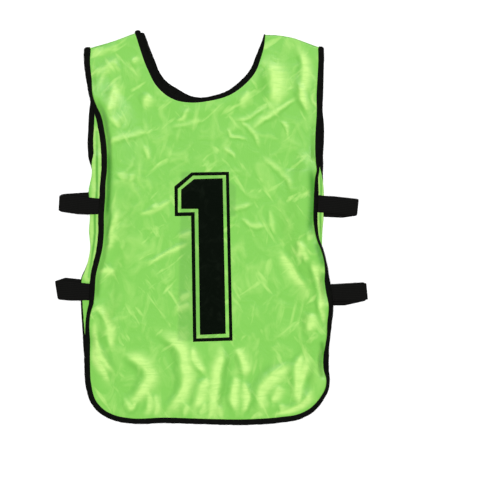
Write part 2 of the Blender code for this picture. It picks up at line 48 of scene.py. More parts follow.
# Edge tables. x and y: the cloth's edge. seen: how much of the tape shows from above.
# low: height of the tape's outer edge. crest, rise, fall: the soft roll of the cloth beside it.
edgeColumns = "x y seen low crest rise fall"
frontEdge = {
    "left": [
        (-164.5, 246.5, 9.4, 2.4, 2.8, 8, 18), (-165.6, 230, 8.8, 2.6, 3.6, 8, 18),
        (-163.4, 202.7, 7.6, 2.6, 4.6, 8, 18), (-161, 179.4, 4.6, 2.6, 10, 8, 24),
        (-157.1, 168.4, 6.4, 2.6, 10.5, 8, 30), (-150.8, 154.7, 8, 2.6, 10.5, 8, 40),
        (-146.2, 134.2, 8, 2.6, 10.5, 8, 45), (-142.7, 106.8, 8, 3.6, 10.5, 8, 45),
        (-142.3, 95, 8, 4.4, 10.5, 8, 45), (-142.5, 79.4, 7.7, 4.4, 10.5, 8, 45),
        (-144.4, 58.8, 7.7, 5.3, 11, 8, 45), (-144.6, 45.1, 8, 6.1, 11, 8, 45),
        (-146.4, 17.7, 8, 6.1, 11, 8, 45), (-146.8, -9.7, 8, 4.6, 10, 8, 45),
        (-149.1, -30.2, 8, 4.6, 8.5, 9, 40), (-152.4, -43.9, 7.6, 4.8, 8, 9, 35),
        (-157.6, -65.8, 7.4, 6, 9.5, 8, 35), (-159, -88, 8, 6, 9.5, 7, 35),
        (-160.4, -103, 6.6, 5.8, 10.8, 7, 35), (-165, -119.3, 4.8, 4.8, 11.8, 7, 40),
        (-166.1, -133, 5.4, 4.6, 11.2, 8, 40), (-165.4, -153.5, 7.1, 4.6, 8, 8, 40),
        (-165.6, -174, 8, 4.4, 6, 10, 40), (-165.6, -190, 8, 2.8, 4.6, 10, 35),
    ],
    "hem": [
        (-164.2, -213, 8, 2.4, 3.8, 10, 30), (-157.3, -237, 7.6, 2.4, 3.2, 10, 25),
        (-145.7, -249.4, 7.3, 2.4, 2.8, 10, 25), (-131.7, -256.3, 7.3, 2.4, 2.6, 10, 25),
        (-111.3, -260.2, 7.4, 2.4, 2.6, 10, 25), (-63.4, -259.4, 7.8, 2.4, 2.6, 10, 25),
        (-15.4, -260.9, 7.6, 2.4, 2.6, 10, 25), (53.1, -261.6, 8, 2.4, 2.6, 10, 25),
        (94.2, -258.7, 8, 2.4, 2.6, 10, 25), (121.6, -253.9, 7.3, 2.4, 2.8, 10, 25),
        (135.3, -246.3, 6.8, 2.4, 5.6, 10, 25), (149, -231.5, 5.4, 2.4, 8.8, 9, 25),
        (155.8, -219, 4.5, 2.4, 9.4, 9, 25),
    ],
    "right": [
        (157.2, -208, 4, 2.4, 9.8, 9, 25), (153.8, -194.6, 7.6, 2.6, 9, 9, 25),
        (153.5, -174.1, 7.8, 2.6, 9.5, 7, 30), (155.8, -160.4, 5, 2.6, 10, 8, 35),
        (157.9, -146.7, 4.4, 2.6, 10.5, 8, 35), (158.3, -131, 6.4, 2.8, 9.5, 9, 35),
        (160.2, -106.9, 6.3, 4.6, 10.8, 9, 35), (157, -88, 8, 6.1, 9.5, 9, 35),
        (154.8, -72, 7.6, 5.6, 10, 9, 35), (155.3, -57.6, 3.8, 4.4, 13, 9, 40),
        (154, -43.9, 1.9, 4.4, 14, 9, 45), (150.1, -30.2, 2.6, 4.4, 14, 9, 45),
        (144.5, -16.5, 2.6, 4.4, 13.8, 8, 45), (141.2, -2.8, 4.2, 4.6, 13, 8, 45),
        (139.5, 10.9, 5.2, 5.4, 12.8, 8, 45), (139.7, 31.4, 6, 5.6, 12.5, 8, 45),
        (140.5, 52, 6, 5, 12, 8, 45), (141.9, 68, 3.6, 4.2, 12.2, 8, 40),
        (144.1, 79.4, 2.4, 4.2, 12.4, 8, 35), (142.8, 89, 5.5, 4.2, 11, 8, 30),
        (142.3, 99.9, 8, 2.9, 6.5, 8, 30), (142.7, 134.2, 8, 2.6, 4.6, 8, 30),
        (144.1, 156, 8, 2.6, 4, 8, 28), (144, 182, 8, 2.6, 4.2, 8, 28), (145.4, 208, 8, 2.6, 3.8, 8, 28),
        (146.4, 230.1, 8, 2.5, 3.2, 8, 22), (146.1, 247.6, 8, 2.4, 2.6, 8, 18),
    ],
    "neck": [
        (74.1, 264.4, 1.8, 2.4, 2.4, 8, 18), (72.7, 249.4, 5.5, 2.4, 2.6, 8, 18),
        (68, 232, 7.7, 2.4, 2.8, 8, 18), (61.3, 214.5, 8, 2.4, 3, 8, 20), (44.7, 194.9, 8, 2.4, 3, 8, 20),
        (26.5, 182.3, 7, 2.4, 2.8, 8, 20), (-1.4, 173.9, 6, 2.4, 2.6, 8, 20),
        (-30.5, 171.5, 7, 2.4, 2.6, 8, 20), (-46.2, 173.9, 8, 2.4, 2.6, 8, 20),
        (-62, 181.7, 8, 2.4, 2.6, 8, 20), (-76.2, 195.8, 8, 2.4, 2.6, 8, 20),
        (-86.4, 215, 8, 2.4, 2.6, 8, 18), (-104.6, 266.4, 8, 2.4, 2.4, 8, 18),
    ],
}
shoulderRight = [(146.1, 247.6), (128.4, 254.3), (113, 259.8), (97, 262.9), (74.1, 264.4)]
shoulderLeft = [(-104.6, 266.4), (-138.7, 254.1), (-164.5, 246.5)]

# The back's outline. tuck: how much of the edge is rolled under. lift: how far a strap raises it.
backColumns = "x y tuck lift"
backEdge = {
    "left": [
        (-172.9, 246.8, 0, 0), (-172, 215, 0, 0), (-167.5, 192, 0, 0), (-165.4, 178, 0, 0),
        (-167.1, 161.6, 0, 0), (-168.6, 136, 0, 0), (-169.1, 106.8, 0, 0), (-166.8, 93.1, 5, 0),
        (-163.4, 81, 10.5, 0), (-163.5, 72.5, 13, 0), (-166.1, 60, 15, 0), (-167.5, 51.5, 16, 1.3),
        (-166.5, 38, 16, 1.3), (-166, 25, 16, 1.3), (-165.9, 14, 15.5, 0), (-167.2, -2.8, 15, 0),
        (-165.6, -28, 13, 0), (-168.2, -43.9, 10.5, 0), (-172.4, -57, 9.5, 0), (-176.5, -66, 9, 1.3),
        (-178.3, -82, 8.2, 1.3), (-178, -98, 7.4, 1.3), (-177.6, -110, 7.1, 0), (-175.3, -146.7, 6.8, 0),
        (-174.7, -160.4, 5.5, 0), (-173, -183, 0, 0), (-171.6, -202, 0, 0),
    ],
    "hem": [
        (-168.6, -222), (-162.6, -240), (-149.5, -254.5), (-133, -261.6), (-111, -265.4), (-63, -265.4),
        (-15, -266.4), (53, -267.6), (94, -264.5), (122, -258.6), (135.6, -250.5), (145, -241.5),
        (152, -231), (156.8, -219),
    ],
    "right": [
        (157.8, -206, 0, 0), (158.5, -187.8, 0, 0), (157.8, -160.4, 0, 0), (160.5, -133, 0, 0),
        (161.5, -119, 0, 0), (161.5, -108, 0, 1.3), (160.5, -96, 0, 1.3), (159.5, -82, 1, 1.3),
        (156, -68, 4, 0), (153, -47, 8, 0), (151.8, -30, 10.5, 0), (151.6, -16.5, 12, 0), (152.3, -1, 13, 0),
        (153.4, 12, 13, 1.3), (153.6, 28, 13, 1.3), (153.8, 40, 13, 1.3), (153.8, 53, 12, 0),
        (152.7, 64, 10, 0), (152.4, 72.5, 8, 0), (152.6, 81, 6, 0), (153, 89, 3, 0), (153.3, 98.5, 0, 0),
        (154.5, 120, 0, 0), (154.5, 141, 0, 0), (152.6, 162, 0, 0), (153.3, 180, 0, 0), (154, 210, 0, 0),
        (154.5, 247, 0, 0),
    ],
    "neck": [
        (75, 264.3, 1.8), (74.5, 249, 5), (70, 231, 7), (63.2, 213.5, 8), (46.8, 192.9, 8), (28, 180, 8),
        (-1, 171.2, 8), (-16.4, 170.6, 8), (-33.2, 174.2, 8), (-49.9, 183.4, 8), (-69.7, 197.6, 8),
        (-76.9, 207.8, 8), (-85.1, 226.9, 8), (-99.8, 265.2, 8),
    ],
}

clothSizes = {
    "thickness": 0.5,
    "pointSpacing": 2.1,  # between the front's points
    "backSpacing": 3.0,
    "edgeSpacing": 2.2,  # between stations along an edge
    # rows of points along the back's roll, by how far they lie past the bend
    "rollRows": (-20, -14, -9, -5.5, -3, -1.4, 0, 0.55, 1.1, 1.65, 2.2, 2.75, 3.4, 4.4, 6.0, 7.6),
    "underTape": 1.4,  # how far the cloth runs into its tape
    "frontLevel": 1.8,  # middle of the cloth where it lies flat
    "backLevel": 0.45,
    "seamLevel": 1.7,  # the shoulder seam draws front and back together
    "floorClear": 0.02,
    "foldClear": 3.0,  # folds start this far in from an edge
    "foldFade": 12.0,
    "sway": 0.35,  # slow unevenness of the whole front
}
tapeSizes = {
    "width": 8.0,
    "thickness": 1.3,
    "gap": 0.15,
    "backLevel": 0.7,
    "waver": 0.12,
    "backSeed": 5,
    "tipDrop": 0.22,  # how much a tip sinks for each millimetre past its tape's end
    "underside": 12.0,  # where the underside starts on the ribs' map
}
rollRadius = 1.1  # of the back's rolled edges


def smoothStep(t):
    t = np.clip(t, 0.0, 1.0)
    return t * t * (3.0 - 2.0 * t)


def readRows(names, rows):
    return dict(zip(names.split(), np.array(rows, float).T))


def lengthsAlong(line):
    return np.r_[0.0, np.cumsum(np.hypot(*np.diff(line, axis=0).T))]


def softened(values, wide):
    weights = 1.0 + np.cos(np.linspace(-math.pi, math.pi, 2 * wide + 3))[1:-1]
    padded = np.r_[[values[0]] * wide, values, [values[-1]] * wide]
    return np.convolve(padded, weights / weights.sum(), "valid")


# A smooth curve through the rows, cut into even steps; the other columns are blended between rows
def stationsOn(rows, step):
    corners = np.column_stack([rows["x"], rows["y"]])
    along = lengthsAlong(corners)
    slope = np.gradient(corners, along, axis=0)
    count = max(3, round(along[-1] / step) + 1)
    at = np.linspace(0.0, along[-1], count)
    k = np.clip(np.searchsorted(along, at, "right") - 1, 0, len(along) - 2)
    span = (along[k + 1] - along[k])[:, None]
    t = (at - along[k])[:, None] / span
    curve = (
        (2 * t**3 - 3 * t**2 + 1) * corners[k]
        + (t**3 - 2 * t**2 + t) * span * slope[k]
        + (3 * t**2 - 2 * t**3) * corners[k + 1]
        + (t**3 - t**2) * span * slope[k + 1]
    )
    made = {}
    for name, values in rows.items():
        wide = 9 if name in ("crest", "rise", "fall") else 2  # the rolls change more slowly
        made[name] = softened(np.interp(at, along, values), wide)
    made["x"], made["y"] = curve.T
    return made


def lineOf(made):
    return np.column_stack([made["x"], made["y"]])


def evenLine(points, step):
    x, y = np.array(points, float).T
    return lineOf(stationsOn({"x": x, "y": y}, step))


# Unit normals on the right hand of a line, which is outside where an outline runs anticlockwise
def outwardOf(line):
    run = np.gradient(line, axis=0)
    run /= np.hypot(*run.T)[:, None]
    return np.column_stack([run[:, 1], -run[:, 0]])


def isInside(spots, outline):
    found = np.zeros(len(spots), bool)
    for (x0, y0), (x1, y1) in zip(outline, np.roll(outline, -1, axis=0)):
        if y0 != y1:
            level = (y0 > spots[:, 1]) != (y1 > spots[:, 1])
            found ^= level & (spots[:, 0] < x0 + (spots[:, 1] - y0) * (x1 - x0) / (y1 - y0))
    return found


# Distance from each spot to the line, where along the line that is, and on which side of it
def nearestOn(spots, line):
    gap = np.empty(len(spots))
    place = np.empty(len(spots))
    hand = np.empty(len(spots))
    batch = 4000  # spots at a time, to spare memory
    for start in range(0, len(spots), batch):
        part = spots[start : start + batch]
        apart = np.hypot(part[:, :1] - line[:, 0], part[:, 1:] - line[:, 1])
        k = apart.argmin(axis=1)
        best = apart[np.arange(len(part)), k]
        at = k.astype(float)
        for turn in (-1, 1):
            other = np.clip(k + turn, 0, len(line) - 1)
            run = line[other] - line[k]
            share = ((part - line[k]) * run).sum(axis=1) / ((run**2).sum(axis=1) + 1e-9)
            share = np.clip(share, 0.0, 1.0)
            far = np.hypot(*(part - line[k] - run * share[:, None]).T)
            closer = far < best
            best = np.where(closer, far, best)
            at = np.where(closer, k + turn * share, at)
        first = np.clip(np.floor(at).astype(int), 0, len(line) - 2)
        run = line[first + 1] - line[first]
        side = run[:, 0] * (part[:, 1] - line[first, 1]) - run[:, 1] * (part[:, 0] - line[first, 0])
        gap[start : start + batch] = best
        place[start : start + batch] = at
        hand[start : start + batch] = np.where(side < 0, -1.0, 1.0)
    return gap, place, hand


# Evenly spread spots inside the outline that stay clear of the given points
def spreadSpots(outline, spacing, keepOff, clear):
    low = outline.min(axis=0)
    high = outline.max(axis=0)
    rowGap = spacing * math.sqrt(3) / 2
    rows = []
    for row in range(int((high[1] - low[1]) / rowGap) + 1):
        x = np.arange(low[0] + (row % 2) * spacing / 2, high[0], spacing)
        rows.append(np.column_stack([x, np.full(len(x), low[1] + row * rowGap)]))
    spots = np.vstack(rows)
    spots = spots[isInside(spots, outline)]
    kept = np.ones(len(spots), bool)
    cells = {}
    size = 8  # of one cell, wider than any clear distance
    for x, y in keepOff:
        cells.setdefault((int(x // size), int(y // size)), []).append((x, y))
    for number, (x, y) in enumerate(spots):
        cx, cy = int(x // size), int(y // size)
        near = [p for i in (-1, 0, 1) for j in (-1, 0, 1) for p in cells.get((cx + i, cy + j), ())]
        if near:
            apart = np.array(near) - (x, y)
            kept[number] = (apart**2).sum(axis=1).min() > clear * clear
    return spots[kept]


# Triangles inside an outline, with inner rows of points kept as edges
def triangulate(outline, rows, spots, holes=()):
    points = [tuple(p) for p in outline]
    edges = [(i, (i + 1) % len(outline)) for i in range(len(outline))]
    for hole in holes:
        first = len(points)
        points += [tuple(p) for p in hole]
        edges += [(first + i, first + (i + 1) % len(hole)) for i in range(len(hole))]
    for row in rows:
        first = len(points)
        points += [tuple(p) for p in row]
        edges += [(first + i, first + i + 1) for i in range(len(row) - 1)]
    points += [tuple(p) for p in spots]
    made = delaunay_2d_cdt(points, edges, [], 0, 1e-4, False)
    corners = np.array([tuple(p) for p in made[0]])
    faces = np.array([tuple(f) for f in made[2]])
    middle = corners[faces].mean(axis=1)
    keep = isInside(middle, outline)
    for hole in holes:
        keep &= ~isInside(middle, hole)
    return corners, faces[keep]


def makePiece(name, points, faces, look, node=None, uv=None, marks=None):
    mesh = bpy.data.meshes.new(name)
    spots = (np.asarray(points) * millimetre).tolist()
    mesh.from_pydata(spots, [], [list(map(int, face)) for face in faces])
    for markName, values in (marks or {}).items():
        layer = mesh.attributes.new(markName, "FLOAT", "POINT")
        layer.data.foreach_set("value", np.asarray(values, np.float32))
    if uv is not None:
        layer = mesh.uv_layers.new(name="run")
        corner = np.empty(len(mesh.loops), np.int64)
        mesh.loops.foreach_get("vertex_index", corner)
        layer.data.foreach_set("uv", np.asarray(uv, np.float32)[corner].ravel())
    mesh.materials.append(look)
    mesh.shade_smooth()
    piece = bpy.data.objects.new(name, mesh)
    bpy.context.scene.collection.objects.link(piece)
    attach(piece, "root")
    if node:
        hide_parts(node)
    return piece


def thicken(piece, thickness):
    wall = piece.modifiers.new("clothThickness", "SOLIDIFY")
    wall.thickness = thickness * millimetre
    wall.offset = 0.0


def fromHex(text):
    values = [int(text[i : i + 2], 16) / 255 for i in (1, 3, 5)]
    linear = [v / 12.92 if v <= 0.04045 else ((v + 0.055) / 1.055) ** 2.4 for v in values]
    return (*linear, 1.0)


# One node with its settings, its own values, and links given as {input: (node, output)}
def addNode(material, kind, settings=None, links=None, values=None):
    node = material.node_tree.nodes.new("ShaderNode" + kind)
    for name, value in (settings or {}).items():
        setattr(node, name, value)
    for name, value in (values or {}).items():
        node.inputs[name].default_value = value
    for name, (source, output) in (links or {}).items():
        material.node_tree.links.new(source.outputs[output], node.inputs[name])
    return node


def newMaterial(name, values):
    material = bpy.data.materials.new(name)
    material.use_nodes = True
    for socket, value in values.items():
        material.node_tree.nodes["Principled BSDF"].inputs[socket].default_value = value
    return material


# Gives the shader its colour, and its bump if there is one
def dress(material, color, bump=None):
    shader = material.node_tree.nodes["Principled BSDF"]
    material.node_tree.links.new(color.outputs[2], shader.inputs["Base Color"])
    if bump:
        material.node_tree.links.new(bump.outputs[0], shader.inputs["Normal"])
    return material


# Texture scales from the size of one blotch or the spacing of one band, in millimetres
def blotchScale(size):
    return 1000.0 / size


# A wave texture of scale 1 repeats every 2 pi / 20 metres
def bandScale(spacing):
    return 1000.0 * 2.0 * math.pi / 20.0 / spacing


# Blotches of one size, and a mark that runs between two strengths over a span of their tones
def addBlotches(material, place, blotch, span, strengths):
    size, detail, roughness, distortion = blotch
    noise = addNode(
        material, "TexNoise", links={"Vector": place},
        values={"Scale": blotchScale(size), "Detail": detail, "Roughness": roughness,
                "Distortion": distortion},
    )
    mark = addNode(
        material, "MapRange", links={"Value": (noise, "Fac")},
        values={"From Min": span[0], "From Max": span[1], "To Min": strengths[0],
                "To Max": strengths[1]},
    )
    return noise, mark


colorMix = {"data_type": "RGBA"}  # its inputs: 0 the factor, 6 and 7 the two colours; its output: 2

# A blotch is its size in mm, then detail, roughness and distortion
satinCloth = {
    "base": "#7BC250",
    "paintedGleam": "#BDE880",  # painted highlight, where the satin face turns to the light
    "paintedShade": "#3F8F22",  # painted shade on the steep sides of the rolls and the far sides of creases
    "ink": "#4F8A3C",  # the back's number, faint through two layers
    "roughness": 0.42,
    "ribSpacing": 2.6,  # mm; the real ribs are 0.5 mm apart, drawn coarser so that they show
    "loopSize": 1.1,  # mm; the real loops are 0.4 mm, drawn coarser for the same reason
    "ribDepth": 0.2,
    "highlightStreaks": [(-52, 13, 0.6), (35, 12, 0.5), (-15, 15, 0.35)],  # painted highlight streaks: degrees, mm across, strength
    "crumple": (26.0, 5.0, 0.52, 0.9),
    "crumpleDepth": 3.6,
    "break": (7.0, 4.0, 0.6, 0.6),  # uneven patches inside each painted highlight, drawn out across the cloth
}


# Polyester satin tricot, warp knitted and heat set: a smooth face with a soft bright gleam on the sides of
# creases, from its gloss and from painted highlight, painted shade on the steep sides of rolls and creases,
# and very fine ribs that run up the cloth
def makeSatin():
    material = newMaterial("polyesterSatinTricot", {
        "Roughness": satinCloth["roughness"], "IOR": 1.5, "Specular IOR Level": 0.5,
    })
    place = (addNode(material, "TexCoord"), "Object")
    turned = addNode(material, "Mapping", links={"Vector": place},
                     values={"Scale": (1.0, 0.72, 0.4), "Rotation": (0, 0, 0.5)})
    # Crumple blotches give the bump, and lighter patches of painted sheen in the highlight colour
    crumple, sheenPatches = addBlotches(material, (turned, 0), satinCloth["crumple"], (0.5, 0.72),
                                   (0.0, 0.3))
    # Thin streaks of painted highlight at three slants
    highlightStreaks = None
    for turn, width, most in satinCloth["highlightStreaks"]:
        drawn = addNode(
            material, "Mapping", {"vector_type": "TEXTURE"}, links={"Vector": place},
            values={"Scale": (1.0, 4.0, 1.0), "Rotation": (0, 0, math.radians(turn)),
                    "Location": (turn * 0.013, 0.0, 0.0)},
        )
        _, line = addBlotches(material, (drawn, 0), (width, 3.0, 0.5, 0.35), (0.62, 0.74),
                              (0.0, most))
        if highlightStreaks:
            line = addNode(material, "Math", {"operation": "MAXIMUM"},
                           links={0: (line, 0), 1: (highlightStreaks, 0)})
        highlightStreaks = line
    # Marks from the mesh: painted highlight, painted shade, and the back's number showing through
    paintedGleam, paintedShade, ink = (addNode(material, "Attribute", {"attribute_name": name})
                         for name in ("paintedGleam", "paintedShade", "ink"))
    # Uneven patches that break up the painted highlight of the folds
    wide = addNode(material, "Mapping", links={"Vector": place}, values={"Scale": (0.28, 1.5, 1.0)})
    _, breaks = addBlotches(material, (wide, 0), satinCloth["break"], (0.32, 0.56), (0.6, 1.0))
    gleaming = addNode(material, "Math", {"operation": "MULTIPLY"},
                       links={0: (paintedGleam, "Fac"), 1: (breaks, 0)})
    # The colour: base, made lighter by painted sheen, painted highlight streaks and the folds' painted
    # highlight, made darker by painted shade and by the back's number showing through
    color = addNode(material, "Mix", colorMix, links={0: (sheenPatches, 0)},
                    values={6: fromHex(satinCloth["base"]), 7: fromHex(satinCloth["paintedGleam"])})
    for factor, tone in (((highlightStreaks, 0), "paintedGleam"), ((gleaming, 0), "paintedGleam"),
                         ((paintedShade, "Fac"), "paintedShade"), ((ink, "Fac"), "ink")):
        color = addNode(material, "Mix", colorMix, links={0: factor, 6: (color, 2)},
                        values={7: fromHex(satinCloth[tone])})
    ribs = addNode(
        material, "TexWave", {"wave_type": "BANDS", "bands_direction": "X", "wave_profile": "SIN"},
        links={"Vector": place},
        values={"Scale": bandScale(satinCloth["ribSpacing"]), "Distortion": 0.6, "Detail": 1.0},
    )
    loops = addNode(
        material, "TexNoise", links={"Vector": place},
        values={"Scale": blotchScale(satinCloth["loopSize"]), "Detail": 2.0, "Roughness": 0.6},
    )
    fine = addNode(material, "Math", {"operation": "MULTIPLY_ADD"},
                   links={0: (ribs, "Fac"), 2: (loops, "Fac")}, values={1: 0.5})
    fineBump = addNode(material, "Bump", links={"Height": (fine, 0)},
                       values={"Strength": 0.16, "Distance": satinCloth["ribDepth"] * millimetre})
    bump = addNode(material, "Bump", links={"Height": (crumple, "Fac"), "Normal": (fineBump, 0)},
                   values={"Strength": 0.55, "Distance": satinCloth["crumpleDepth"] * millimetre})
    return dress(material, color, bump)


bindingTape = {
    "base": "#0A0B09",
    "worn": "#131412",
    "roughness": 0.78,
    "ribSpacing": 1.8,  # mm; the real twill is 0.6 mm apart, drawn coarser so that it shows
    "ribDepth": 0.18,
    "lint": (5.5, 4.0, 0.65, 0.0),
}


# Polyester twill binding, folded and sewn over the raw edge: matt black, with close slanting ribs
# and a trace of pale lint
def makeTapeMaterial():
    material = newMaterial("polyesterBindingTape", {
        "Roughness": bindingTape["roughness"], "IOR": 1.5, "Specular IOR Level": 0.04,
    })
    run = addNode(material, "UVMap", {"uv_map": "run"})
    ribs = addNode(
        material, "TexWave", {"wave_type": "BANDS", "bands_direction": "DIAGONAL"},
        links={"Vector": (run, "UV")},
        values={"Scale": bandScale(bindingTape["ribSpacing"]), "Distortion": 0.4},
    )
    place = (addNode(material, "TexCoord"), "Object")
    _, grey = addBlotches(material, place, bindingTape["lint"], (0.42, 0.75), (0.0, 0.6))
    color = addNode(material, "Mix", colorMix, links={0: (grey, 0)},
                    values={6: fromHex(bindingTape["base"]), 7: fromHex(bindingTape["worn"])})
    bump = addNode(material, "Bump", links={"Height": (ribs, "Fac")},
                   values={"Strength": 0.5, "Distance": bindingTape["ribDepth"] * millimetre})
    return dress(material, color, bump)


elasticWebbing = {
    "base": "#0C0C0B",
    "worn": "#171716",
    "roughness": 0.72,
    "ribSpacing": 2.4,  # mm; the real cores are 1.5 mm apart, drawn coarser so that they show
    "weaveSpacing": 1.6,  # mm; the real weave is 0.7 mm
    "depth": 0.25,
}


# Woven polyester elastic: matt black, with ribs along its length over rubber cores and a
# close cross weave between them
def makeElasticMaterial():
    material = newMaterial("wovenElastic", {
        "Roughness": elasticWebbing["roughness"], "IOR": 1.5, "Specular IOR Level": 0.04,
    })
    run = addNode(material, "UVMap", {"uv_map": "run"})
    ribs, weave = (
        addNode(material, "TexWave", {"wave_type": "BANDS", "bands_direction": way},
                links={"Vector": (run, "UV")},
                values={"Scale": bandScale(elasticWebbing[spacing]), "Distortion": uneven})
        for way, spacing, uneven in (("Y", "ribSpacing", 0.0), ("X", "weaveSpacing", 0.3))
    )
    both = addNode(material, "Math", {"operation": "MULTIPLY_ADD"},
                   links={0: (weave, "Fac"), 2: (ribs, "Fac")}, values={1: 0.45})
    tone = addNode(material, "MapRange", links={"Value": (both, 0)},
                   values={"From Min": 0.3, "From Max": 1.4, "To Min": 0.0, "To Max": 0.7})
    color = addNode(material, "Mix", colorMix, links={0: (tone, 0)},
                    values={6: fromHex(elasticWebbing["base"]), 7: fromHex(elasticWebbing["worn"])})
    bump = addNode(material, "Bump", links={"Height": (both, 0)},
                   values={"Strength": 0.6, "Distance": elasticWebbing["depth"] * millimetre})
    return dress(material, color, bump)


numberInk = {
    "base": "#050B05",
    "worn": "#0E150D",
    "roughness": 0.42,
    "crack": (17.0, 6.0, 0.6, 1.2),
    "crackDepth": 1.0,
}


# Heat-pressed plastisol ink: a thin, dense black film with a low gloss that takes the cloth's
# creases
def makeInkMaterial():
    material = newMaterial("plastisolInk", {
        "Roughness": numberInk["roughness"], "IOR": 1.49, "Specular IOR Level": 0.04,
    })
    place = (addNode(material, "TexCoord"), "Object")
    cracks, grey = addBlotches(material, place, numberInk["crack"], (0.5, 0.72), (0.0, 0.8))
    color = addNode(material, "Mix", colorMix, links={0: (grey, 0)},
                    values={6: fromHex(numberInk["base"]), 7: fromHex(numberInk["worn"])})
    bump = addNode(material, "Bump", links={"Height": (cracks, "Fac")},
                   values={"Strength": 0.35, "Distance": numberInk["crackDepth"] * millimetre})
    return dress(material, color, bump)


# A colour that drifts between two tones in small blotches
def addDrift(material, size, detail, dark, light):
    place = (addNode(material, "TexCoord"), "Object")
    drift = addNode(material, "TexNoise", links={"Vector": place},
                    values={"Scale": blotchScale(size), "Detail": detail})
    return addNode(material, "Mix", colorMix, links={0: (drift, 0)},
                   values={6: fromHex(dark), 7: fromHex(light)})


sewingThread = {"dark": "#131312", "light": "#1F1F1E", "twist": 0.7}


# Spun polyester sewing thread, dull black and slightly fuzzy
def makeThreadMaterial():
    material = newMaterial("polyesterThread", {
        "Roughness": 0.85, "IOR": 1.5, "Specular IOR Level": 0.1,
    })
    return dress(material, addDrift(material, sewingThread["twist"], 2.0, sewingThread["dark"],
                                    sewingThread["light"]))


satin = makeSatin()
tapeLook = makeTapeMaterial()
elasticLook = makeElasticMaterial()
inkLook = makeInkMaterial()
threadLook = makeThreadMaterial()
print("bib: materials are ready")
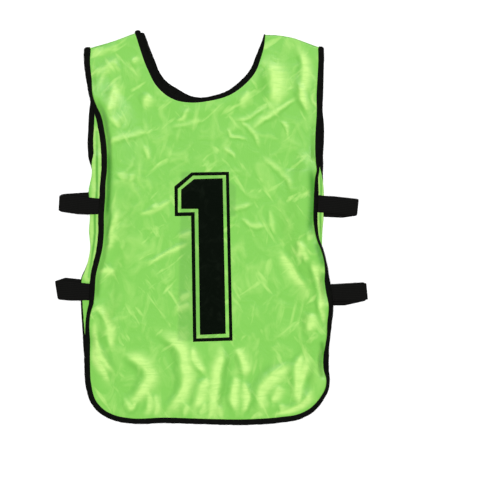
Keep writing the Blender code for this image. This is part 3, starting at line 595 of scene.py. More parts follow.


# Creases of the front: points along each, half width, height, and how far it leans to its left (+) or right
# (-) as it is followed
frontFolds = [
    # hem
    ([(-73, -143), (-47, -166), (-40, -196), (-43, -225), (-61, -249)], 9.5, 2.6, 0.4),
    ([(-120, -171), (-89, -201), (-97, -222), (-113, -236)], 9.5, 2.2, 0.3),
    ([(-163, -144), (-158, -170), (-144, -197), (-139, -212)], 7, 1.4, -0.2),
    ([(-118, -232), (-110, -248), (-103, -234)], 5, 1.2, 0.0),
    ([(-151, -112), (-144, -134), (-137, -166)], 6, 1.4, 0.3),
    ([(-159, -126), (-148, -177), (-132, -196)], 6, 1.4, -0.3),
    ([(-28, -160), (-22, -186), (-10, -200)], 6, 1.5, 0.2),
    ([(-6, -202), (-17, -225), (-24, -246)], 8, 1.9, 0.3),
    ([(-11, -238), (-13, -258)], 4, 1.0, 0.0),
    ([(0, -236), (-2, -258)], 4, 1.0, 0.0),
    ([(11, -240), (11, -258)], 4, 1.0, 0.0),
    ([(17, -159), (16, -182), (9, -225), (8, -252)], 8, 2.4, -0.4),
    ([(32, -166), (44, -190), (43, -202)], 6, 1.6, 0.3),
    ([(32, -200), (28, -226), (31, -252)], 7, 1.8, 0.3),
    ([(45, -208), (52, -225), (46, -252)], 6, 1.8, -0.3),
    ([(112, -184), (78, -204), (64, -225), (66, -252)], 9.5, 2.4, 0.4),
    ([(92, -214), (84, -240)], 7, 1.3, 0.2),
    ([(139, -220), (124, -240), (85, -255)], 6, 1.8, 0.2),
    ([(126, -169), (116, -188), (115, -232)], 7, 1.8, 0.4),
    ([(137, -174), (127, -211), (122, -244)], 7, 1.8, -0.4),
    ([(-96, -214), (-87, -236), (-89, -255)], 6, 1.2, 0.2),
    ([(-74, -225), (-77, -256)], 5, 1.0, 0.0),
    ([(-36, -238), (-37, -259)], 5, 1.0, 0.0),
    ([(98, -238), (96, -255)], 5, 1.0, 0.0),
    # right side
    ([(75, 229), (83, 200), (80, 173)], 13, 2.0, 0.4),
    ([(58, 137), (88, 157), (116, 174)], 4, 1.2, 0.3),
    ([(20, 138), (27, 127), (45, 120)], 2.2, 1.0, 0.2),
    ([(17, 110), (31, 94)], 2.2, 0.9, 0.2),
    ([(94, 148), (101, 140), (105, 127)], 2.2, 1.0, 0.2),
    ([(-32, 166), (-39, 155), (-48, 146)], 2.4, 1.0, 0.2),
    ([(-57, 134), (-39, 141), (-11, 145)], 3.4, 0.6, 0.2),
    ([(31, 145), (59, 155), (73, 162)], 2.6, 0.8, 0.2),
    ([(118, 200), (125, 180), (129, 160)], 4, 1.3, 0.3),
    ([(142, 205), (139, 169)], 3.2, 1.1, 0.2),
    ([(117, 249), (126, 216), (120, 186), (130, 159)], 7, 1.6, 0.4),
    ([(52, 190), (41, 166)], 5, 1.0, 0.0),
    ([(26, 23), (54, 34)], 3.2, 0.9, 0.0),
    ([(42, 16), (54, 4), (72, 1)], 3.2, 0.9, 0.0),
    ([(78, 26), (87, -10)], 3.2, 0.8, 0.2),
    ([(96, -27), (112, -55), (130, -84)], 7, 1.4, -0.3),
    ([(138, 4), (133, -18)], 5, 1.2, 0.2),
    ([(117, -18), (124, -29), (117, -41)], 5, 1.4, 0.0),
    ([(130, -22), (123, -32), (130, -44)], 5, 1.2, 0.0),
    ([(135, -44), (146, -81), (149, -117)], 6, 1.6, 0.4),
    ([(135, -114), (133, -141)], 7, 1.4, 0.2),
    ([(148, -101), (152, -133)], 5, 1.2, 0.2),
    ([(37, 148), (56, 133), (64, 112)], 3, 0.8, 0.2),
    ([(70, 96), (94, 79), (109, 55)], 4, 0.8, 0.2),
    # left side
    ([(-127, 252), (-158, 236)], 4, 0.9, 0.3),
    ([(-127, 236), (-158, 212)], 4.5, 0.9, 0.3),
    ([(-124, 214), (-133, 226), (-156, 196)], 4, 0.8, 0.3),
    ([(-130, 201), (-137, 178), (-140, 159)], 7, 1.4, 0.2),
    ([(-84, 184), (-91, 167)], 7, 1.4, 0.0),
    ([(-110, 75), (-111, 64)], 6, 0.8, 0.0),
    ([(-81, 34), (-76, 26)], 5, 1.0, 0.0),
    ([(-130, 30), (-137, 4), (-144, -33)], 6, 1.2, 0.3),
    ([(-52, 37), (-95, 19)], 3.4, 1.0, 0.0),
    ([(-28, -3), (-46, -15)], 4.5, 1.1, 0.0),
    ([(-28, -18), (-60, -34), (-90, -45)], 3.6, 1.2, 0.3),
    ([(-29, -88), (-46, -100)], 5, 1.0, 0.0),
    ([(-28, -100), (-47, -112)], 5, 1.0, 0.0),
    ([(-132, -55), (-154, -62)], 6, 1.2, 0.0),
    ([(-157, -107), (-140, -130)], 6, 1.2, 0.2),
    ([(-139, 112), (-114, 125), (-84, 130)], 3.6, 0.9, 0.2),
    ([(-94, 112), (-83, 97)], 3, 1.0, 0.0),
    ([(-139, 153), (-128, 137)], 5, 1.0, 0.0),
    ([(-109, 230), (-103, 225)], 6, 1.0, 0.0),
    ([(-124, 79), (-122, 66)], 6, 0.8, 0.0),
]
crumples = {"seed": 11, "count": 110, "length": (12, 48), "width": (2.8, 5.4), "height": (0.1, 0.38),
            "calm": ((-120, -150), (125, 10))}  # corners of the smoother belly
# How folds look: the widths above are of the part with painted highlight, and a fold is wider by "widen";
# small folds waver more than those from "largeFrom" mm high; the painted highlight and the painted shade of
# the far side are full from a height
foldLook = {"widen": 1.25, "largeFrom": 1.3, "waver": (1.8, 0.9), "fullGleam": 1.5, "fullDim": 1.8,
            # dimStrength, rollShade and mostShade set how strong the painted shade is
            "dimStrength": 0.24, "rollShade": 0.4, "mostShade": 0.95,
            "step": 3.0,  # between stations along a fold
            "reach": 3.2}  # in widths, how far off a fold is still felt


def smallFolds():
    dice = np.random.default_rng(crumples["seed"])
    made = []
    for _ in range(crumples["count"]):
        middle = dice.uniform((-150, -150), (150, 240))
        turn = dice.uniform(0, math.pi)
        reach = dice.uniform(*crumples["length"]) / 2
        bow = dice.uniform(-0.3, 0.3) * reach
        along = np.array([math.cos(turn), math.sin(turn)])
        across = np.array([-along[1], along[0]])
        points = [middle - along * reach, middle + across * bow, middle + along * reach]
        width, height = dice.uniform(*crumples["width"]), dice.uniform(*crumples["height"])
        lean = dice.uniform(-0.3, 0.3)
        low, high = np.array(crumples["calm"])
        if not ((middle > low) & (middle < high)).all() or height < 0.2:
            made.append((points, width, height, lean))
    return made


# Height of one crease at each spot, how much painted highlight its lit side gets and how much painted shade
# its far side gets
def foldAt(spots, points, width, height, lean):
    line = evenLine(points, foldLook["step"])
    low = line.min(axis=0) - foldLook["reach"] * width
    high = line.max(axis=0) + foldLook["reach"] * width
    near = ((spots > low) & (spots < high)).all(axis=1)
    rise = np.zeros(len(spots))
    paintedGleam = np.zeros(len(spots))
    dim = np.zeros(len(spots))
    if near.any():
        x, y = spots[near].T
        wobble = foldLook["waver"][int(height >= foldLook["largeFrom"])]
        uneven = np.column_stack([
            x + wobble * (np.sin(y / 6.3 + 1.7 * np.sin(x / 12.1)) + 0.35 * np.sin((x + y) / 3.1)),
            y + wobble * (np.sin(x / 6.9 + 1.4 * np.sin(y / 11.3)) + 0.35 * np.sin((x - y) / 3.3)),
        ])
        gap, place, hand = nearestOn(uneven, line)
        share = place / (len(line) - 1)
        strength = smoothStep(share / 0.3 + 0.15) * smoothStep((1.0 - share) / 0.3 + 0.3)
        offset = gap * hand
        narrow = width * (0.45 + 0.55 * np.sin(math.pi * np.clip(share, 0.08, 0.85)) ** 0.8)
        wide = narrow * np.where(offset > 0, 1.0 + lean, 1.0 - lean)
        rise[near] = height * strength * np.exp(-((offset / wide) ** 2))
        far = (offset - lean * narrow) * (1.0 if lean >= 0 else -1.0)
        lit = np.exp(-((far / (np.where(far < 0, 0.45, 0.95) * narrow)) ** 2))
        bright = np.minimum(1.0, 1.15 * strength * lit)
        paintedGleam[near] = bright * min(1.0, height / foldLook["fullGleam"])
        dark = np.exp(-(((far + 1.15 * narrow) / (0.4 * narrow)) ** 2))
        dim[near] = strength * dark * min(1.0, height / foldLook["fullDim"])
    return rise, paintedGleam, dim


frontSide = readRows(edgeColumns, frontEdge["left"] + frontEdge["hem"] + frontEdge["right"])
# Where little of the tape shows, the rest of its width hangs down past the roll
hidden = np.sqrt(np.maximum(tapeSizes["width"] ** 2 - frontSide["seen"] ** 2, 0.0))
frontSide["hang"] = hidden * smoothStep((7.3 - frontSide["seen"]) / 0.8)
frontSide = stationsOn(frontSide, clothSizes["edgeSpacing"])
frontNeck = readRows(edgeColumns, frontEdge["neck"])
frontNeck["hang"] = frontNeck["seen"] * 0.0
frontNeck = stationsOn(frontNeck, clothSizes["edgeSpacing"])
allFolds = [(points, width * foldLook["widen"], height, lean)
            for points, width, height, lean in frontFolds] + smallFolds()


# How far the roll beside one bound edge lifts the cloth over its flat level
def rollLift(spots, made):
    gap, place, _ = nearestOn(spots, lineOf(made))
    pick = {name: np.interp(place, np.arange(len(made["x"])), made[name])
            for name in ("low", "hang", "crest", "rise", "fall")}
    level = clothSizes["frontLevel"]
    edge = pick["low"] + pick["hang"]
    climb = edge + (pick["crest"] - edge) * smoothStep(gap / pick["rise"])
    out = smoothStep((gap - pick["rise"]) / pick["fall"])
    decline = level + (pick["crest"] - level) * (1.0 - out)
    # How much painted shade the steep side of a roll gets near its edge
    steepShade = smoothStep((pick["crest"] - edge - 1.0) / 3.0) * (1.0 - smoothStep((gap - 5.0) / 5.0))
    return np.where(gap < pick["rise"], climb, decline) - level, gap, steepShade


def frontSurface(spots):
    sideLift, sideGap, steepShade = rollLift(spots, frontSide)
    neckLift, neckGap, _ = rollLift(spots, frontNeck)
    gap = np.minimum(sideGap, neckGap)
    rise = np.zeros(len(spots))
    paintedGleam = np.zeros(len(spots))
    dim = np.zeros(len(spots))
    for fold in allFolds:
        oneRise, oneGleam, oneDim = foldAt(spots, *fold)
        rise += oneRise
        paintedGleam = np.maximum(paintedGleam, oneGleam)
        dim = np.maximum(dim, oneDim)
    x, y = spots.T
    sway = clothSizes["sway"] * np.sin(x / 19 + 1.3 * np.sin(y / 47))
    sway *= np.sin(y / 31 + 0.8 * np.sin(x / 53))
    fade = smoothStep((gap - clothSizes["foldClear"]) / clothSizes["foldFade"])
    height = clothSizes["frontLevel"] + sideLift + neckLift + (rise + sway) * fade
    # Painted shade on the steep roll sides and on the far sides of folds; the painted highlight fades out
    # near the edges
    dark = np.maximum(steepShade * foldLook["rollShade"], dim * (1.0 - paintedGleam) * foldLook["dimStrength"])
    return height, paintedGleam * smoothStep(gap / 6.0), dark


def extended(made):
    line = lineOf(made)
    share = clothSizes["underTape"] / tapeSizes["width"]
    edge = line + outwardOf(line) * (made["seen"] * share)[:, None]
    return edge, made["low"] + made["hang"] * (1.0 - share)


# The number, tilted as it was printed; mirrored about its own middle it shows faintly from the back
numberShape = {
    "outer": [(-27.1, 76.0), (24.3, 76.9), (29.2, -154.3), (-24.9, -156.0), (-27.6, 16.5),
              (-49.9, 16.1), (-50.5, 56.9)],
    "gap": [(-25.1, 71.6), (20.1, 72.3), (24.7, -149.7), (-20.2, -151.3), (-22.7, 21.7),
            (-45.6, 21.2), (-45.6, 53.6)],
    "figure": [(-23.4, 66.9), (15.7, 68.0), (19.9, -144.9), (-15.4, -146.4), (-17.9, 26.1),
               (-41.2, 26.1), (-41.3, 52.3)],
    "mirrorAbout": -8.3,
    "filmThickness": 0.08,
    "clear": 0.3,
    "through": 0.28,  # how much of the back's number shows on the front
    "spacing": 2.0,
}


# Painted shade along the dark sides of rolls and deep creases: points along each, half width and strength
shadedSides = [
    ([(136, 88), (138.4, 60), (138.2, 30), (136.8, 0), (141, -16)], 5.0, 1.0),
    ([(143, -18), (150, -40), (154, -54)], 4.0, 0.9),
    ([(151, -153), (153, -170), (156, -178)], 3.5, 0.7),
    ([(-143, 116), (-140.5, 95), (-139.8, 60), (-141, 30), (-142, 4)], 4.8, 1.0),
    ([(-139, 36), (-138, 14), (-142, -8), (-145, -20)], 2.4, 0.8),
    ([(-157, -72), (-161, -90), (-162, -112)], 3.0, 0.4),
]
# The same for the back: the long creases down the strips that show at its sides, sunk a little and darkened
# with painted shade
shadedBackCreases = [
    ([(-156.8, 132), (-156.4, 108), (-156.5, 86), (-157, 42), (-159.3, 18), (-159.3, -7), (-163.4, -40),
      (-167.5, -67)], 1.3, 0.85),
    ([(148.6, 80), (150.4, 62), (150.2, 40), (149.4, 19), (149.6, 0), (150.4, -22)], 1.1, 0.75),
]


# A mask along each line, fading off its half width and towards its ends: painted shade, and on the back also
# how deep a crease sinks
def shadeAt(spots, lines):
    paintedShade = np.zeros(len(spots))
    for points, width, strength in lines:
        line = evenLine(points, foldLook["step"])
        gap, place, _ = nearestOn(spots, line)
        share = place / (len(line) - 1)
        ends = smoothStep(share / 0.25 + 0.1) * smoothStep((1.0 - share) / 0.25 + 0.1)
        paintedShade = np.maximum(paintedShade, strength * ends * np.exp(-((gap / width) ** 2)))
    return paintedShade


def refined(loop, step):
    made = []
    for (x0, y0), (x1, y1) in zip(loop, loop[1:] + loop[:1]):
        count = max(1, round(math.hypot(x1 - x0, y1 - y0) / step))
        made += [(x0 + (x1 - x0) * i / count, y0 + (y1 - y0) * i / count) for i in range(count)]
    return np.array(made)


def mirrored(loop):
    turned = np.array(loop)
    turned[:, 0] = 2 * numberShape["mirrorAbout"] - turned[:, 0]
    return turned


def makeFrontCloth():
    spacing = clothSizes["pointSpacing"]
    sideLine, sideHeight = extended(frontSide)
    neckLine, neckHeight = extended(frontNeck)
    right = evenLine(shoulderRight, spacing)[1:-1]
    left = evenLine(shoulderLeft, spacing)[1:-1]
    outline = np.vstack([sideLine, right, neckLine, left])
    inner = [(lineOf(made) - outwardOf(lineOf(made)) * gap)[4:-4]
             for gap in (0.8, 2.6) for made in (frontSide, frontNeck)]
    spots = spreadSpots(outline, spacing, np.vstack([outline] + inner), spacing * 0.62)
    points, faces = triangulate(outline, inner, spots)
    height, paintedGleam, dark = frontSurface(points)
    count = len(sideLine)
    height[:count] = sideHeight
    first = count + len(right)
    height[first : first + len(neckLine)] = neckHeight
    for start, size in ((count, len(right)), (first + len(neckLine), len(left))):
        height[start : start + size] = clothSizes["seamLevel"]
    figure = mirrored(numberShape["outer"])
    gap = nearestOn(points, refined(figure.tolist(), numberShape["spacing"]))[0]
    inward = gap * np.where(isInside(points, figure), 1.0, -1.0)
    through = smoothStep((inward + 2.0) / 4.0) * numberShape["through"]
    # Painted shade and painted highlight for the satin's colour; ink is the back's number showing through
    paintedShade = np.maximum(dark, shadeAt(points, shadedSides)) * foldLook["mostShade"]
    marks = {"paintedGleam": paintedGleam * (1.0 - paintedShade), "paintedShade": paintedShade, "ink": through}
    piece = makePiece("frontCloth", np.column_stack([points, height]), faces, satin,
                      "front_panel", marks=marks)
    thicken(piece, clothSizes["thickness"])
    return piece


frontCloth = makeFrontCloth()
print("bib: front cloth has", len(frontCloth.data.polygons), "faces")


def makeNumber(name, onFront):
    step = numberShape["spacing"]
    loops = {key: refined(numberShape[key], step) for key in ("outer", "gap", "figure")}
    if not onFront:
        loops = {key: mirrored(loop)[::-1] for key, loop in loops.items()}
    parts = []
    total = 0
    for outline, holes in ((loops["outer"], [loops["gap"]]), (loops["figure"], [])):
        keepOff = np.vstack([outline] + holes)
        spots = spreadSpots(outline, step, keepOff, step * 0.6)
        for hole in holes:
            spots = spots[~isInside(spots, hole)]
        points, faces = triangulate(outline, [], spots, holes)
        parts.append((points, faces + total))
        total += len(points)
    points = np.vstack([part[0] for part in parts])
    faces = np.vstack([part[1] for part in parts])
    if onFront:
        height = frontSurface(points)[0] + clothSizes["thickness"] / 2 + numberShape["clear"]
    else:
        level = backLevelAt(points) + backCreasing(points)[0]
        height = level - clothSizes["thickness"] / 2 - numberShape["clear"] / 2
    piece = makePiece(name, np.column_stack([points, height]), faces, inkLook)
    thicken(piece, numberShape["filmThickness"])
    return piece


# Creases of the back, like the front's but lower, since it lies between floor and front
backFolds = [
    # hem
    ([(66, -150), (44, -178), (40, -210), (52, -246)], 9, 0.6, 0.4),
    ([(112, -168), (88, -196), (98, -226), (110, -240)], 9, 0.55, 0.3),
    ([(142, -150), (136, -186), (124, -214)], 8, 0.5, -0.2),
    ([(14, -166), (6, -198), (14, -232), (10, -252)], 8, 0.55, 0.3),
    ([(-20, -170), (-12, -204), (-20, -244)], 8, 0.5, -0.3),
    ([(-48, -186), (-56, -216), (-50, -250)], 8, 0.6, 0.3),
    ([(-104, -182), (-78, -206), (-70, -230), (-76, -252)], 10, 0.6, 0.4),
    ([(-128, -170), (-118, -206), (-120, -238)], 8, 0.5, -0.3),
    ([(-148, -190), (-138, -224)], 7, 0.4, 0.2),
    # middle
    ([(30, 30), (62, 16), (90, 20)], 6, 0.4, 0.2),
    ([(24, -40), (66, -22)], 6, 0.4, 0.2),
    ([(22, -96), (44, -108)], 6, 0.35, 0.0),
    ([(-72, 10), (-96, -14), (-104, -44)], 7, 0.45, 0.2),
    ([(-112, -62), (-126, -96), (-128, -128)], 7, 0.5, 0.3),
    ([(116, -40), (128, -76), (126, -110)], 7, 0.5, -0.3),
    ([(96, 62), (112, 30), (118, 0)], 7, 0.45, 0.2),
    # chest and shoulders
    ([(-40, 140), (-78, 158), (-104, 172)], 6, 0.45, 0.3),
    ([(46, 132), (82, 122), (112, 128)], 6, 0.4, 0.2),
    ([(20, 120), (4, 104)], 5, 0.35, 0.0),
    ([(-84, 230), (-92, 200), (-86, 174)], 10, 0.55, 0.4),
    ([(-128, 236), (-120, 206), (-128, 170)], 8, 0.5, -0.3),
    ([(104, 236), (96, 206), (104, 176)], 9, 0.5, 0.4),
    ([(128, 214), (136, 186), (130, 152)], 7, 0.4, 0.2),
]
backLook = {
    "mostRise": 0.5,
    "sway": 0.18,
    # how strong the painted highlight on the back's folds is
    "paintedGleam": 2.2,
    "creaseRows": (-2.4, -1.1, 0.0, 1.1, 2.4),  # rows of points across each long crease
    "creaseDepth": 0.25,
    "gleamBesideCrease": 0.6,  # painted highlight on the cloth beside a long crease
    # the least painted shade anywhere on the back, and how strong the folds' painted shade is
    "leastShade": 0.1,
    "dimStrength": 0.6,
    "foldFade": 12.0,  # folds die out this near to the roll
}


def rolledSide(rows, sign):
    made = stationsOn(readRows(backColumns, rows), clothSizes["edgeSpacing"])
    turn = np.minimum(made["tuck"] / rollRadius, math.pi / 2)
    made["bend"] = made["x"] - sign * rollRadius * np.sin(turn)
    made["sign"] = sign
    made["order"] = np.argsort(made["y"])
    return made


backLeft = rolledSide(backEdge["left"], -1)
backRight = rolledSide(backEdge["right"], 1)
backHem = evenLine(backEdge["hem"], clothSizes["edgeSpacing"])
backNeck = stationsOn(readRows("x y seen", backEdge["neck"]), clothSizes["edgeSpacing"])


# Where spots of the unrolled back lie once the edges are rolled under; off is out of the surface
def rollUnder(spots, base, off, lowest):
    places = []
    for side in (backLeft, backRight):
        order = side["order"]
        x, y = spots.T
        bend, tuck, lift = (np.interp(y, side["y"][order], side[name][order])
                            for name in ("bend", "tuck", "lift"))
        past = side["sign"] * (x - bend)
        turned = np.clip(past / rollRadius, 0.0, math.pi)
        end = np.minimum(tuck / rollRadius, math.pi)
        under = np.maximum(past - math.pi * rollRadius, 0.0)
        rolledX = bend + side["sign"] * ((rollRadius + off) * np.sin(turned) - under)
        rolledZ = base + lift + rollRadius * (np.cos(turned) - np.cos(end)) + off * np.cos(turned)
        inward = 1.0 - smoothStep((-past - 20.0) / 25.0)
        flatZ = base + (lift + rollRadius * (1.0 - np.cos(end))) * inward + off
        onTop = past <= 0.0
        height = np.where(onTop, flatZ, rolledZ)
        places.append((np.where(onTop, x, rolledX), height))
    isLeft = spots[:, 0] < 0.0
    x = np.where(isLeft, places[0][0], places[1][0])
    z = np.where(isLeft, places[0][1], places[1][1])
    return np.column_stack([x, spots[:, 1], np.maximum(z, lowest)])


def flatEdge(side):
    return np.column_stack([side["bend"] + side["sign"] * side["tuck"], side["y"]])


backOuter = np.vstack([flatEdge(backLeft), backHem, flatEdge(backRight)])


def backLevelAt(spots):
    gap = np.minimum(nearestOn(spots, backOuter)[0] - 8.0, nearestOn(spots, lineOf(backNeck))[0])
    near = np.exp(-((np.maximum(gap, 0.0) / 7.0) ** 2))
    level = clothSizes["backLevel"]
    return level + (tapeSizes["backLevel"] - level) * near


# How far the back's creases rise, how much painted highlight they get and how much painted shade
def backCreasing(spots):
    made = [foldAt(spots, *fold) for fold in backFolds]
    x, y = spots.T
    sway = backLook["sway"] * (1 + np.sin(x / 17 + 1.3 * np.sin(y / 41)) * np.sin(y / 29))
    most = backLook["mostRise"]
    rise = most * np.tanh((sum(one[0] for one in made) + sway) / most)
    paintedGleam = np.minimum(1.0, backLook["paintedGleam"] * np.max([one[1] for one in made], axis=0))
    return rise, paintedGleam, np.max([one[2] for one in made], axis=0) * (1.0 - paintedGleam)


def makeBackCloth():
    spacing = clothSizes["backSpacing"]
    reach = tapeSizes["width"] - clothSizes["underTape"] + 0.4
    clothEdge = backOuter - outwardOf(backOuter) * reach
    neck = lineOf(backNeck)
    neck = neck + outwardOf(neck) * np.minimum(backNeck["seen"] * 0.15, 1.2)[:, None]
    right = evenLine(shoulderRight, spacing)[1:-1]
    left = evenLine(shoulderLeft, spacing)[1:-1]
    clothEdge[0] = shoulderLeft[-1]
    clothEdge[-1] = shoulderRight[0]
    outline = np.vstack([clothEdge, right, neck, left])
    rows = []
    for side in (backLeft, backRight):
        for past in clothSizes["rollRows"]:
            keep = side["tuck"] > past + reach + 0.9
            if past < -1:
                keep[:] = True
                keep[:6] = keep[-6:] = False
            where = np.flatnonzero(keep)
            if len(where) > 3:
                row = np.column_stack([side["bend"] + side["sign"] * past, side["y"]])
                rows.append(row[where[0] : where[-1] + 1])
    for points, _, _ in shadedBackCreases:
        line = evenLine(points, clothSizes["edgeSpacing"])
        rows += [line + outwardOf(line) * gap for gap in backLook["creaseRows"]]
    rows = [row[isInside(row, outline)] for row in rows]
    rows = [row[nearestOn(row, np.vstack([outline, outline[:1]]))[0] > 0.5] for row in rows]
    rows = [row for row in rows if len(row) > 3]
    spots = spreadSpots(outline, spacing, np.vstack([outline] + rows), spacing * 0.6)
    points, faces = triangulate(outline, [], np.vstack(rows + [spots]))
    height = backLevelAt(points)
    rise, paintedGleam, dim = backCreasing(points)
    lowest = clothSizes["thickness"] / 2 + clothSizes["floorClear"]
    laid = rollUnder(points, height, 0.0, lowest)
    x, y = points.T
    flat = np.min([np.abs(x - np.interp(y, side["y"][side["order"]], side["bend"][side["order"]]))
                   for side in (backLeft, backRight)], axis=0)
    laid[:, 2] += rise * smoothStep(flat / backLook["foldFade"])
    creaseAndShade = shadeAt(points, shadedBackCreases)
    gap = np.min([nearestOn(points, evenLine(line, foldLook["step"]))[0]
                  for line, _, _ in shadedBackCreases], axis=0)
    # Painted highlight on the cloth beside each long crease
    besideGleam = backLook["gleamBesideCrease"] * smoothStep((9.0 - gap) / 4.0)
    paintedGleam = np.maximum(paintedGleam, besideGleam * smoothStep((gap - 1.2) / 1.6))
    laid[:, 2] -= backLook["creaseDepth"] * creaseAndShade
    laid[:, 2] = np.maximum(laid[:, 2], lowest)
    # Painted shade in the long creases, a little over the whole back, and on the folds' far sides
    dark = np.maximum(creaseAndShade, np.maximum(backLook["leastShade"], dim * backLook["dimStrength"]))
    marks = {"paintedGleam": paintedGleam, "paintedShade": dark, "ink": np.zeros(len(points))}
    piece = makePiece("backCloth", laid, faces, satin, "back_panel", marks=marks)
    thicken(piece, clothSizes["thickness"])
    return piece


backCloth = makeBackCloth()
print("bib: back cloth has", len(backCloth.data.polygons), "faces")

numberFront = makeNumber("numberFront", True)
numberBack = makeNumber("numberBack", False)
print("bib: numbers are printed")


# Cross-section of the folded tape: share of the width from its inner edge, and height; the dip
# near the inner edge is where the stitches pull it down
tapeSection = [
    (0.00, 0.30), (0.03, 0.86), (0.11, 1.00), (0.19, 0.84), (0.28, 1.02), (0.45, 1.10), (0.62, 1.06),
    (0.78, 1.02), (0.90, 0.86), (0.97, 0.52), (1.00, 0.00),
]
tapeLoop = tapeSection + [(share, -high) for share, high in tapeSection[-2::-1]]


def tubeFaces(rings, size):
    faces = []
    for i in range(rings - 1):
        for j in range(size):
            a = i * size + j
            b = i * size + (j + 1) % size
            faces.append((a, a + size, b + size, b))
    faces.append(tuple(range(size)))
    faces.append(tuple((rings - 1) * size + j for j in reversed(range(size))))
    return faces


def wavered(count, seed, amount):
    dice = np.random.default_rng(seed)
    at = np.arange(count) * clothSizes["edgeSpacing"]
    made = np.zeros(count)
    for length in (9.0, 17.0, 33.0):
        wave = np.sin(at / length * 2 * math.pi + dice.uniform(0, 6.3))
        made += wave * amount * dice.uniform(0.5, 1.0)
    return made


# Rings beyond each end that close the tape with a rounded tip over the shoulder
tipRings = [(0.6, 0.97), (1.3, 0.90), (2.1, 0.76), (2.7, 0.57), (3.1, 0.32)]
tipLean = 0.32  # where across the tape the tip closes, from its inner edge


# A tape's width along its edge, and which shares of it hang down and lie flat
def tapeLean(made):
    width = np.sqrt(made["seen"] ** 2 + made["hang"] ** 2)
    return width, made["hang"] / width, made["seen"] / width


# Each ring of a tape: its station, how far it lies beyond that, and how much narrower it is
def tapeRings(first, last):
    rings = [(first, -far, small) for far, small in reversed(tipRings)]
    rings += [(k, 0.0, 1.0) for k in range(first, last + 1)]
    return rings + [(last, far, small) for far, small in tipRings]


# Tape along an edge that isn't rolled under; trim is how many stations short of the shoulder it
# stops at its two ends
def makeTape(name, made, node, seed, trim):
    line = lineOf(made)
    out = outwardOf(line)
    run = np.column_stack([-out[:, 1], out[:, 0]])
    count = len(line)
    width, slope, flat = tapeLean(made)
    start = tapeSizes["gap"] + 0.5 * tapeSizes["thickness"] * slope
    wave = wavered(count, seed, tapeSizes["waver"])
    rings = tapeRings(trim[0], count - 1 - trim[1])
    points = []
    uv = []
    along = lengthsAlong(line)
    for k, far, small in rings:
        for share, high in tapeLoop:
            part = tipLean + (share - tipLean) * small
            u = part * (width[k] + wave[k])
            v = high * small * tapeSizes["thickness"] / 2 * (1.0 + 0.3 * wave[k])
            sideways = start[k] + u * flat[k] + v * slope[k]
            upward = made["low"][k] + made["hang"][k] - u * slope[k] + v * flat[k]
            x, y = line[k] + out[k] * sideways + run[k] * far
            upward = max(upward - tapeSizes["tipDrop"] * abs(far), clothSizes["floorClear"])
            points.append((x, y, upward))
            across = u + (high < 0) * tapeSizes["underside"]
            uv.append(((along[k] + far) * millimetre, across * millimetre))
    faces = tubeFaces(len(rings), len(tapeLoop))
    return makePiece(name, points, faces, tapeLook, node, uv=uv)


frontEdgeTape = makeTape("frontEdgeTape", frontSide, "front_edge_binding", 3, (1, 1))
frontNeckTape = makeTape("frontNeckTape", frontNeck, "front_neck_binding", 4, (1, 0))


def makeBackEdgeTape():
    out = outwardOf(backOuter)
    count = len(backOuter)
    wave = wavered(count, tapeSizes["backSeed"], tapeSizes["waver"])
    steps = np.linspace(0.97, 0.03, 13)
    middle = [(s, np.interp(1 - s, *zip(*tapeSection))) for s in steps]
    top = [(1.0, 0.3)] + middle + [(0.0, 0.0)]
    loop = top + [(share, -high) for share, high in top[-2::-1]]
    along = lengthsAlong(backOuter)
    points = []
    uv = []
    rings = tapeRings(1, count - 2)
    run = np.column_stack([-out[:, 1], out[:, 0]])
    for share, high in loop:
        spots = []
        off = []
        for k, far, small in rings:
            part = 1.0 - tipLean + (share - 1.0 + tipLean) * small
            inward = part * (tapeSizes["width"] + wave[k])
            spots.append(backOuter[k] - out[k] * inward + run[k] * far)
            off.append(high * small * tapeSizes["thickness"] / 2)
        points.append(rollUnder(np.array(spots), tapeSizes["backLevel"], np.array(off),
                                clothSizes["floorClear"]))
        across = share * tapeSizes["width"] + (high < 0) * tapeSizes["underside"]
        uv.append([((along[k] + far) * millimetre, across * millimetre) for k, far, _ in rings])
    points = np.array(points).transpose(1, 0, 2).reshape(-1, 3)
    uv = np.array(uv).transpose(1, 0, 2).reshape(-1, 2)
    faces = [face[::-1] for face in tubeFaces(len(rings), len(loop))]
    return makePiece("backEdgeTape", points, faces, tapeLook, "back_edge_binding",
                     uv=uv)


backEdgeTape = makeBackEdgeTape()
backNeck["low"] = np.full(len(backNeck["x"]), tapeSizes["backLevel"])
backNeck["hang"] = backNeck["low"] * 0.0
backNeckTape = makeTape("backNeckTape", backNeck, "back_neck_binding", 6, (2, 1))
print("bib: edges are bound")


